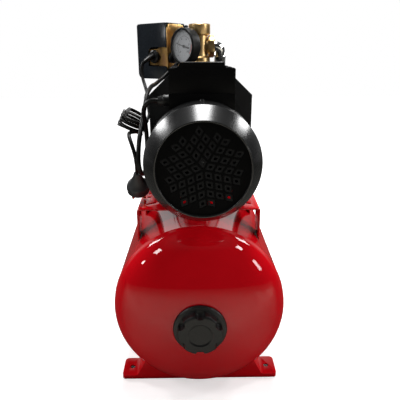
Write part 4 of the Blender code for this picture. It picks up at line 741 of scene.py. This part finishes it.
def leadPath():
    lead = [switchPoint(50.7, 14, -20), switchPoint(44.7, 14, -21)]
    lead += [besidePump(*spot) for spot in (
        (46, 103.1, 128), (40.5, 96.1, 120), (31, 90.1, 112), (18.9, 74.1, 100.5), (7.5, 44.1, 91),
        (4.5, 9.1, 90), (1.5, -11.9, 85.5), (-1, -32.9, 78), (-2.5, -45.9, 65.5), (-4.5, -58.9, 52.5),
        (-6.5, -76.9, 36.5), (-8, -94.9, 20.5), (-9, -106.9, 3.5), (-9.2, -112.4, -13.5),
        (-8.2, -110.4, -25.5), (-6.7, -102.9, -34.5), (-5, -89.9, -38.5), (-3, -76.9, -34.5),
        (-1.5, -69.4, -25.5), (-0.5, -66.9, -13.5), (0, -66.9, 2), (0.2, -69.9, 18), (0.2, -76.9, 33),
        (0, -87.4, 46), (0.2, -98.4, 57), (2.7, -106.9, 67), (8.2, -111.4, 74))]
    lead += [at(-66.8, -146.4, 468.3), at(-58.8, -146.7, 468.5)]
    return smoothPath(lead, 3)


leadRoute = leadPath()
motorLead = dress(cordCurve("motorLead", leadRoute, 3.5), "cable", "rubber", "motor_lead")
round(pathLength(leadRoute), 4)
print("motor lead", round(pathLength(leadRoute), 3), "m")


# Tank

tankSizes = {"radius": 135, "length": 332, "dome": 65, "bead": 0.5, "front": -185, "height": 151,
             "boltCircle": 63, "steps": 160}


def onTank(y):
    return at(0, y, tankSizes["height"])


def tank():
    t = tankSizes
    front = []
    for i in range(41):
        a = asin(14 / t["radius"]) + (pi / 2 - asin(14 / t["radius"])) * i / 40
        front.append((t["radius"] * sin(a), t["dome"] * cos(a)))
    rear = []
    for i in range(31):
        a = pi / 2 - (pi / 2 - asin(50 / t["radius"])) * i / 30
        rear.append((t["radius"] * sin(a), -t["length"] - t["dome"] * cos(a)))
    r = t["radius"]
    crest = r + t["bead"]
    flank = r + t["bead"] * 0.7
    seam = [(flank, -1.2), (crest, -2.4), (flank, -3.6), (r, -4.8)]
    seamBack = [(r, -327.2), (flank, -328.4), (crest, -329.6), (flank, -330.8)]
    outside = [(4.3, 70.2), (5, 71), (13.2, 71), (14, 70.2)] + front + seam + seamBack + rear
    outside += [(50, -399), (74, -399), (74, -405)]
    inside = [(46, -405), (46, -392), (100, -374), (133, -330), (133, -2), (100, 40), (46, 58), (4.3, 62)]
    shell = lathe("tankShell", outside + inside, onTank(t["front"]), forward, t["steps"])
    dress(shell, "redPaint", "red_paint", "tank_shell")


def valveCap():
    profile = [(0, 80.5), (16.2, 80.5), (18.4, 82), (30.2, 82), (32.5, 79.8), (33.1, 68.8), (38.2, 67.9),
               (39.5, 66.2), (39.5, 62.8), (37.1, 62.8), (37.1, 65.4), (22.6, 65.4), (22.6, 77.6),
               (16.5, 77.6), (16.5, 66), (14.3, 66), (14.3, 77.6), (0, 77.6)]
    cap = lathe("valveCap", profile, onTank(tankSizes["front"]), forward, 120, 0.9)
    hollow = [(0, 20), (7.9, 20), (7.5, 3), (6.4, 1), (4, 0), (0, 0)]
    cutters = []
    for x, z in polar(33.8, angles(6, pi / 2)):
        spot = at(x, tankSizes["front"] - 69, tankSizes["height"] + z)
        cutters.append(lathe("thumb", hollow, spot, forward, 40))
    cutAway(cap, cutters)
    soften(cap, 0.7, 3, 38)
    dress(cap, "capBlack", "black_plastic", "valve_cap", body="cap")


def rearFlange():
    profile = [(12.5, 0), (74, 0), (74, -6), (23, -6), (21, -8), (21, -22), (12.5, -22)]
    pieces = [lathe("rearFlangePlate", profile, onTank(222.4), forward, 96, 0.8)]
    # Bolt heads behind the plate and the bolts' ends in front of it
    for name, length, y, stretch in (("flangeBolts", 5, 230.7, even),
                                     ("boltEnds", 4, 212.0, (0.62, 0.62, 1.0))):
        spots = [(at(x, y, tankSizes["height"] + z), frameOf(backward), stretch)
                 for x, z in polar(tankSizes["boltCircle"], angles(6, radians(18)))]
        bolt = hexPiece("item", 13, length, (0, 0, 0), upward, 0, 0.9)
        pieces.append(repeated(name, bolt, spots, "zincSteel"))
    dress(joined("rearFlange", pieces), "zincSteel", "steel", "tank_flange")


def feet():
    for name, node in (("frontFoot", "front_foot"), ("rearFoot", "rear_foot")):
        shape = cadShape(node)
        low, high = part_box(node)
        corners = [e for e in shape.edges
                   if all(abs(abs(v.co.x) - high.x) < 0.0002 for v in e.verts)
                   and all(min(abs(v.co.y - low.y), abs(v.co.y - high.y)) < 0.0002 for v in e.verts)
                   and abs(e.verts[0].co.y - e.verts[1].co.y) < 0.0001]
        bmesh.ops.bevel(shape, geom=corners, offset=7 * mm, segments=5, profile=0.5, affect="EDGES")
        made = soften(toObject(name, shape, outward=False), 0.9, 3)
        dress(made, "redPaint", "red_paint", node)


tank()
valveCap()
rearFlange()
feet()
polished("pumpBracket", "pump_bracket", 0.8, "redPaint", "red_paint", 3)
print("tank, cap, flange, feet and bracket")


# Motor

motor = {"x": 5, "z": 391.5, "front": -185, "housing": 66, "wall": 6, "fins": 36, "finWidth": 2.4,
         "finDepth": 6.8, "finMiddle": 68.6, "from": -176.7, "to": -66.7}


def onShaft(y):
    return at(motor["x"], y, motor["z"])


def housing():
    m = motor
    long = m["to"] - m["from"]
    outer = m["housing"]
    inner = outer - m["wall"]
    body = lathe("housingBody", [(inner, 0), (outer, 0), (outer, long), (inner, long)], onShaft(m["from"]),
                 backward, 96, 0.6)
    spots = []
    middle = (m["from"] + m["to"]) / 2
    for i in range(m["fins"]):
        a = 2 * pi * (i + 0.5) / m["fins"] + pi / 2
        fromTop = abs((a - pi / 2 + pi) % (2 * pi) - pi)
        if fromTop < radians(27):
            continue
        spot = at(m["x"] + m["finMiddle"] * cos(a), middle, m["z"] + m["finMiddle"] * sin(a))
        spots.append((spot, Matrix.Rotation(-a, 3, "Y"), even))
    fins = repeated("housingFins", boxItem(m["finDepth"], long, m["finWidth"], 0.7), spots, "finBlack")
    pad = boxItem(62, long, 9, 0.8)
    pad.data.transform(Matrix.Translation(at(m["x"], middle, m["z"] + 61.4)))
    dress(joined("motorHousing", [body, fins, pad]), "finBlack", "black_aluminium", "motor_housing")


grille = {"side": 12.3, "rib": 2.1, "field": 60.5, "sectors": 5, "turn": 60, "front": -255.0, "thick": 2.6,
          "lip": 0.4}


def grilleCells():
    # Five equal sectors, each a lattice of rhombi between its two spokes.
    g = grille
    sector = 2 * pi / g["sectors"]
    start = radians(g["turn"])
    cells = []
    for k in range(g["sectors"]):
        one = Vector((cos(start + sector * k), sin(start + sector * k))) * g["side"]
        two = Vector((cos(start + sector * (k + 1)), sin(start + sector * (k + 1)))) * g["side"]
        for i in range(8):
            for j in range(8):
                corners = [one * (i + a) + two * (j + b) for a, b in ((0, 0), (1, 0), (1, 1), (0, 1))]
                if max(c.length for c in corners) < g["field"]:
                    cells.append((k, sum(corners, Vector((0, 0))) / 4, corners))
    return cells


def fanCowl():
    g = grille
    profile = [(61.0, 70.2), (61.7, 73.5), (63.5, 73.5), (80, 43), (80, -11), (78, -11), (78, 42.5),
               (62.6, 67), (61.0, 67)]
    shell = lathe("cowlShell", profile, onShaft(motor["front"]), forward, 144, 1.6)
    spots = []
    for x, z in polar(1, angles(4)):
        out = Vector((x, 0, z))
        spots.append((onShaft(-181) + out * 80 * mm, frameOf(out), even))
    dome = [(0, 2.3), (2, 2.2), (3.4, 1.6), (4, 0.4), (4, -1), (0, -1)]
    head = lathe("item", dome, (0, 0, 0), upward, 28)
    slot = boxItem(5, 1, 2)
    slot.data.transform(Matrix.Translation(at(0, 0, 2.4)))
    cutAway(head, [slot])
    screws = repeated("cowlScrews", head, spots, "bezelBlack")
    dress(joined("fanCowl", [shell, screws]), "bezelBlack", "black_plastic", "fan_cowl")
    cells = grilleCells()
    shrink = 1 - g["rib"] / (g["side"] * sin(2 * pi / g["sectors"]))
    holes = []
    for k, middle, corners in cells:
        holes.append([tuple(middle + (c - middle) * shrink) for c in corners])
    centre = onShaft(g["front"] + g["thick"] / 2)
    plate = prism("grillePlate", polar(61.4, angles(96)), g["thick"], centre, upright, holes)
    dress(plate, "grilleBlack", "black_plastic", "fan_cowl")
    base = cells[0]
    outer = [(c - base[1]) * shrink * 0.97 for c in base[2]]
    inner = [tuple(c * g["lip"]) for c in outer]
    lip = prism("item", [tuple(c) for c in outer], 3.4, (0, 0, 0), straight, [inner], 0.35)
    spots = []
    for k, middle, corners in cells:
        turn = upright @ Matrix.Rotation(2 * pi / g["sectors"] * k, 3, "Z")
        spot = onShaft(g["front"] + 2.5) + at(middle.x, 0, middle.y)
        spots.append((spot, turn, even))
    lips = repeated("grilleLips", lip, spots, "grilleGrey", sharp=20)
    dress(lips, "grilleGrey", "black_plastic", "fan_cowl")
    print("grille with", len(cells), "rhombic cells")


housing()
fanCowl()
polished("boxBase", "terminal_box_base", 0.8, "boxBlack", "black_plastic")
polished("boxCover", "terminal_box_cover", 0.9, "boxBlack", "black_plastic", 3)
polished("motorAdaptor", "motor_adaptor", 0.8, "castBlack", "black_casting")
polished("pumpCasing", "pump_casing", 1.1, "castBlack", "black_casting", 3)
polished("mountingBoltLeft", "mounting_bolt_left", 0.4, "zincSteel", "steel")
polished("mountingBoltRight", "mounting_bolt_right", 0.4, "zincSteel", "steel")
polished("drainPlug", "drain_plug", 0.5, "brass", "brass")


def primingPlug():
    foot = at(5, -6.1, 0)
    foot.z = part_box("priming_plug")[0].z
    head = hexPiece("plugHead", 19, 8, at(5, -6.1, 516.8), upward, 0, 1.4)
    thread = lathe("plugThread", [(0, 9.5), (8, 9.5), (8, 0.8), (7.2, 0), (0, 0)], foot, upward, 40)
    dress(joined("primingPlug", [head, thread]), "brass", "brass", "priming_plug", body="filler")


primingPlug()
print("motor, cowl, box, adaptor and casing")


# Water connections

def fitting():
    column = [(15, 68.5), (18.8, 68.5), (19.8, 67.4), (19.8, 52.4), (18.6, 50.2), (15.5, 48.5), (15.5, 14),
              (17, 11.6), (19.5, 10), (19.5, 0.3), (14.7, 0.3), (14.7, -13.5), (10, -13.5), (10, 51.5)]
    thread = []
    for i in range(8):
        thread += [(14.0, 52.2 + i * 1.8), (15.0, 53.1 + i * 1.8)]
    base = at(5, 59.9, 516.5)
    switchWay = switchTurn @ -rightward
    sideArm = [(9, 7), (13, 7), (13, 20.6), (12, 22), (9, 22)]
    switchArm = [(4, 7), (8, 7), (8, 24), (4, 24)]
    gaugeArm = [(4, 7), (10.5, 7), (10.5, 13), (8.5, 15), (8.5, 19.5), (4, 19.5)]
    turns = [(column + thread, base, upward, 0.0), (sideArm, fittingMiddle, rightward, 0.4),
             (switchArm, fittingMiddle, switchWay, 0.4), (gaugeArm, fittingMiddle, gaugeWay, 0.4)]
    dress(several("outletFitting", turns, 72), "brass", "brass", "outlet_fitting")
    nut = hexPiece("unionNut", 34, 11.5, at(26.75, 59.9, 546.5), rightward, 13.6, 2.0)
    dress(nut, "brass", "brass", "union_nut")


def elbowPath(start, heading, leaving, straightPart):
    bend = 9.5
    tail = 6
    middle = start + heading * straightPart * mm
    arc = [middle + bend * mm * (sin(a) * heading + (1 - cos(a)) * leaving)
           for a in [pi / 2 * i / 12 for i in range(13)]]
    return [start] + arc + [arc[-1] + leaving * tail * mm]


def hose():
    fall = Vector((0, sin(radians(31)), -cos(radians(31))))
    sleeve = [(9.6, 24), (10.4, 24), (11, 23.3), (11, 19), (10.5, 18.3), (10.5, 16.8), (11, 16), (11, 13.2),
              (10.5, 12.5), (10.5, 11), (11, 10.2), (11, 0.8), (10.2, 0), (0, 0), (0, 2), (9.6, 2)]
    top = elbowPath(at(27.3, 59.9, 546.5), rightward, fall, 7)
    low = elbowPath(onTank(244.7), backward, upward, 1.8)
    for name, path, way, node in (("hoseElbowTop", top, fall, "hose_elbow_top"),
                                  ("hoseElbowLow", low, upward, "hose_elbow_bottom")):
        bent = sweep(name + "Bend", path, 9 * mm)
        collar = lathe(name + "Sleeve", sleeve, path[-1] - way * 0.5 * mm, way, 48)
        dress(joined(name, [bent, collar]), "chrome", "chrome", node)
    steps = (2.3, 14, 27, 40)
    route = [top[-1] + fall * d * mm for d in steps]
    route += [at(51, 121.9, 458.5), at(52, 167.9, 376.5), at(36, 198, 301), at(12, 246, 241)]
    route += [low[-1] + upward * d * mm for d in reversed(steps)]
    path = smoothPath(route, 14)
    made = sweep("braidedHose", path, 9.3 * mm, 60)
    dress(made, "steelBraid", "chrome", "braided_hose")
    round(pathLength(path), 4)
    print("hose", round(pathLength(path), 3), "m")


fitting()
hose()


# Gauge

gauge = {"radius": 31, "dial": 28.7, "back": 24, "ink": 38.56, "tickEnd": 24.5}
gaugeFrame = Matrix((upward.cross(gaugeWay), upward, gaugeWay)).transposed()


def onDial(x, y, out):
    return fittingMiddle + gaugeFrame @ (Vector((x, y, out)) * mm)


def dialBand(name, outer, inner, first, degrees, steps):
    arc = [radians(first + degrees * i / steps) for i in range(steps + 1)]
    loop = polar(outer, arc) + polar(inner, reversed(arc))
    return prism(name, loop, 0.16, onDial(0, 0, gauge["ink"]), gaugeFrame)


def dialTicks():
    ticks = []
    for i in range(51):
        a = radians(225 - 270 * i / 50)
        length, width = (1.7, 1.6) if i % 5 == 0 else (0.8, 1.0)
        reach = gauge["tickEnd"] - length
        spot = onDial(reach * cos(a), reach * sin(a), gauge["ink"])
        ticks.append((spot, gaugeFrame @ Matrix.Rotation(a, 3, "Z"), (length, width, 1)))
    return repeated("dialTicks", boxItem(2, 0.35, 0.16), ticks, "inkBlack")


def dialNumber(value):
    a = radians(225 - 27 * value)
    text = bpy.data.curves.new("number", "FONT")
    text.body = str(value)
    text.size = 5.2 * mm
    text.align_x = "CENTER"
    text.align_y = "CENTER"
    text.extrude = 0.08 * mm
    letters = linked("number", text)
    mesh = meshOf(letters)
    bpy.data.objects.remove(letters)
    spot = onDial(13.2 * cos(a), 13.2 * sin(a), gauge["ink"])
    mesh.transform(Matrix.Translation(spot) @ gaugeFrame.to_4x4())
    return meshObject("number", mesh)


def gaugeParts():
    g = gauge
    r = g["radius"]
    case = [(27, 21), (29.8, 21), (r, 19.6), (r, 3), (28.4, 0), (0, 0), (0, 2), (29, 2), (29, 19.5),
            (27, 19.5)]
    dress(lathe("gaugeCase", case, onDial(0, 0, g["back"]), gaugeWay, 96, 0.5), "capBlack", "black_plastic",
          "gauge_case")
    dial = [(0, 12.2), (g["dial"], 12.2), (g["dial"], 11.2), (5, 11.2), (5, 0), (0, 0)]
    dress(lathe("gaugeDial", dial, onDial(0, 0, 26.3), gaugeWay), "dialWhite", "white_dial", "gauge_dial")
    lens = [(0, 1.4), (28.4, 1.4), (g["dial"], 1.1), (g["dial"], 0), (0, 0)]
    dress(lathe("gaugeLens", lens, onDial(0, 0, 41.8), gaugeWay), "clearGlass", "glass", "gauge_lens")
    ink = [dialTicks(), dialBand("dialBand", 17.2, 16.7, 225, -270, 60)]
    ink += [dialNumber(value) for value in range(0, 11, 2)]
    dress(joined("dialPrint", ink), "inkBlack", "white_dial", "gauge_dial")
    dress(dialBand("dialRed", 19.6, 18.6, -45, 54, 16), "inkRed", "white_dial", "gauge_dial")
    polished("gaugeNeedle", "gauge_needle", 0.12, "inkBlack", "black_plastic", body="needle")
    vent = [(0, 4), (1.6, 4), (3.4, 3.2), (4, 1.8), (4, 0), (0, 0)]
    dress(lathe("gaugeVent", vent, onDial(0, 31.3, 33), upward, 40, 0.5), "hoodBlack", "black_plastic",
          "gauge_vent_plug")
    stem = hexPiece("gaugeStem", 14, 4, onDial(0, 0, 21.8), gaugeWay, 0, 0.5)
    dress(stem, "brass", "brass", "gauge_stem")


gaugeParts()


# Pressure switch

def glandPiece(name, cable, size, start, way, node, path=None):
    # Ribbed gland nut; the mains gland has a long tapered sleeve on the cord as well.
    bore = cable + 0.3
    profile = [(bore, 7), (size - 3, 7), (size, 5), (size, 0.3), (8, 0.3), (8, -3), (bore, -3)]
    nut = lathe(name + "Nut", profile, start, way, 64, 0.8)
    turn = frameOf(way)
    ribs = []
    for a in angles(14):
        spot = start + turn @ (Vector((size * cos(a), size * sin(a), 2.6)) * mm)
        ribs.append((spot, turn @ Matrix.Rotation(a, 3, "Z"), even))
    pieces = [nut, repeated(name + "Ribs", boxItem(0.9, 2.0, 4.4, 0.3), ribs, "capBlack")]
    if path:
        gone = 0.0
        kept = [path[0]]
        for a, b in zip(path, path[1:]):
            gone += (b - a).length
            kept.append(b)
            if gone > 26 * mm:
                break
        radii = [(6.2 - 2.7 * i / (len(kept) - 1)) * mm for i in range(len(kept))]
        pieces.append(sweep(name + "Sleeve", kept, radii))
    dress(joined(name, pieces), "capBlack", "black_plastic", node)


def switch():
    # The hood's sides reach over the base to its face, with a notch round the gland's tab.
    far, near, low, high = -138.3, -59.5, -59.5, 43
    above = [pi / 12 * i for i in range(7)]
    below = [pi / 16 * i for i in range(9)]
    outline = [(near, low), (near, high)]
    outline += [(far + 5 - 5 * sin(a), high - 5 + 5 * cos(a)) for a in above]
    outline += [(far + 11 - 11 * cos(a), low + 11 - 11 * sin(a)) for a in below]
    middle = switchPoint(0, 0, 0)
    turn = switchTurn @ upright
    hood = prism("switchHood", outline, 54, middle, turn, width=1.5, segments=3)
    inside = [(-40, low + 1.7), (-40, high - 1.6), (far + 1.7, high - 1.6), (far + 1.7, low + 1.7)]
    room = prism("room", inside, 51.2, middle, turn)
    cut = [(-40, -35.5), (-40, -0.5)] + [(-96 - 12 * sin(a), -12.5 + 12 * cos(a)) for a in below]
    notch = prism("notch", cut + [(-108, -35.5)], 8, switchPoint(0, 27, 0), turn)
    cutAway(hood, [room, notch])
    dress(hood, "hoodBlack", "black_plastic", "switch_cover", body="hood")
    polished("switchBase", "switch_base", 0.5, "zincTan", "passivated_steel")
    polished("switchPortNut", "switch_port_nut", 0.5, "zincTan", "passivated_steel")
    glandPiece("mainsGland", 3, 12, switchPoint(91, 25, -17.5), switchTurn @ forward, "mains_gland",
               mainsRoute)
    glandPiece("leadGland", 3.5, 9.5, switchPoint(58, 14, -20), switchTurn @ rightward, "lead_gland")


def boxGland():
    profile = [(3.8, 17), (6, 17), (7.5, 9.6), (8.6, 9), (8.6, 0), (4.7, 0), (4.7, -2.7), (8, -2.7),
               (8, -5.4), (3.8, -5.4)]
    gland = lathe("boxGland", profile, at(-41.5, -146.7, 468.5), -rightward, 48, 0.6)
    dress(gland, "capBlack", "black_plastic", "box_cable_gland")


switch()
boxGland()
print("fitting, hose, gauge and switch")


# CAD nodes that stay as they are, with a finish each

kept = {
    "rubber": ["bladder", "casing_o_ring"],
    "brass": ["air_valve", "impeller"],
    "finBlack": ["fan_end_shield"],
    "innerSteel": ["front_bearing", "rear_bearing", "stator_core", "rotor_shaft", "rotor_core", "seal_ring",
                   "range_spring"],
    "copper": ["stator_windings"],
    "fanGrey": ["cooling_fan", "terminal_block", "capacitor", "diffuser", "ejector", "contact_block"],
    "carbon": ["seal_seat"],
}
for finish, names in kept.items():
    for node in names:
        cadNodes[node].data.materials.clear()
        cadNodes[node].data.materials.append(finishes[finish])


# Floor, white surroundings and soft lamps

def world():
    # The camera and clear things see white. Gloss sees white low behind the object, a little light
    # overhead and darkness in front; matt surfaces see an even grey.
    f = Finish("studio", bpy.data.worlds, "Background")
    bpy.context.scene.world = f.look
    bands = []
    for axis, low, high, start, end in ((1, 0.55, 0.93, 0.0, 1.0), (2, 0.34, 0.6, 1.0, 0.0),
                                        (2, 0.7, 0.9, 0.03, 0.22)):
        values = {"Value": f.split(f.spots("Generated"), axis), "From Min": low, "From Max": high,
                  "To Min": start, "To Max": end}
        bands.append(f.add("ShaderNodeMapRange", None, values))
    behind, below, above = bands
    light = f.choose(f.rays("Is Glossy Ray"), 0.23, behind * below + above)
    seen = f.most(f.rays("Is Camera Ray"), f.rays("Is Transmission Ray"))
    f.surface(Strength=1.0, Color=f.choose(seen, light, 1.0))


def floor():
    shape = bmesh.new()
    bmesh.ops.create_grid(shape, x_segments=1, y_segments=1, size=5)
    made = toObject("floor", shape, outward=False)
    f = Finish("paleFloor")
    seen = f.rays("Is Camera Ray")
    place = f.split(f.spots(), 1) * 0.1 + 0.5
    warm = (0.9, 0.86, 0.74)
    dark = (0.05, 0.05, 0.045)
    pale = (0.8, 0.8, 0.8)
    mirrored = f.ramp(place, [(0.0, warm), (0.452, warm), (0.482, dark), (0.6, dark), (0.75, pale)])
    unseen = f.blend(f.rays("Is Glossy Ray"), (0.42, 0.42, 0.42), mirrored)
    tone = f.blend(seen, unseen, pale)
    away = f.add("ShaderNodeVectorMath", {"operation": "LENGTH"}, {0: f.spots()}, "Value")
    glow = f.ramp(away * 0.5, [(0.12, 0.56), (0.42, 1.0)])
    f.surface(Base_Color=tone, Roughness=0.9, Specular_IOR_Level=0.1, Emission_Color=glow)
    f.feed(f.skin.inputs["Emission Strength"], seen)
    made.data.materials.append(f.look)


def lamp(name, place, target, width, height, power):
    data = bpy.data.lights.new(name, "AREA")
    data.shape = "RECTANGLE"
    data.size = width
    data.size_y = height
    data.energy = power
    made = linked(name, data)
    made.matrix_world = Matrix.Translation(place) @ frameOf(place - target).to_4x4()


world()
floor()
aim = Vector((0, -0.15, 0.25))
for name, azimuth, elevation, width, height, power in (
        ("overhead", 176, 76, 0.46, 1.0, 29), ("leftHigh", -69, 40, 0.26, 0.22, 4.5),
        ("leftLow", -75, 22, 0.13, 0.13, 1.6), ("rightHigh", 76, 43, 0.26, 0.2, 4.5),
        ("rightLow", 73, 17, 0.2, 0.36, 4.5), ("leftRear", -124, 35, 0.3, 0.36, 7),
        ("rightRear", 124, 35, 0.3, 0.36, 7)):
    flat = cos(radians(elevation))
    way = Vector((sin(radians(azimuth)) * flat, -cos(radians(azimuth)) * flat, sin(radians(elevation))))
    lamp(name, aim + way * 1.6, aim, width, height, power)
print("floor and lamps")
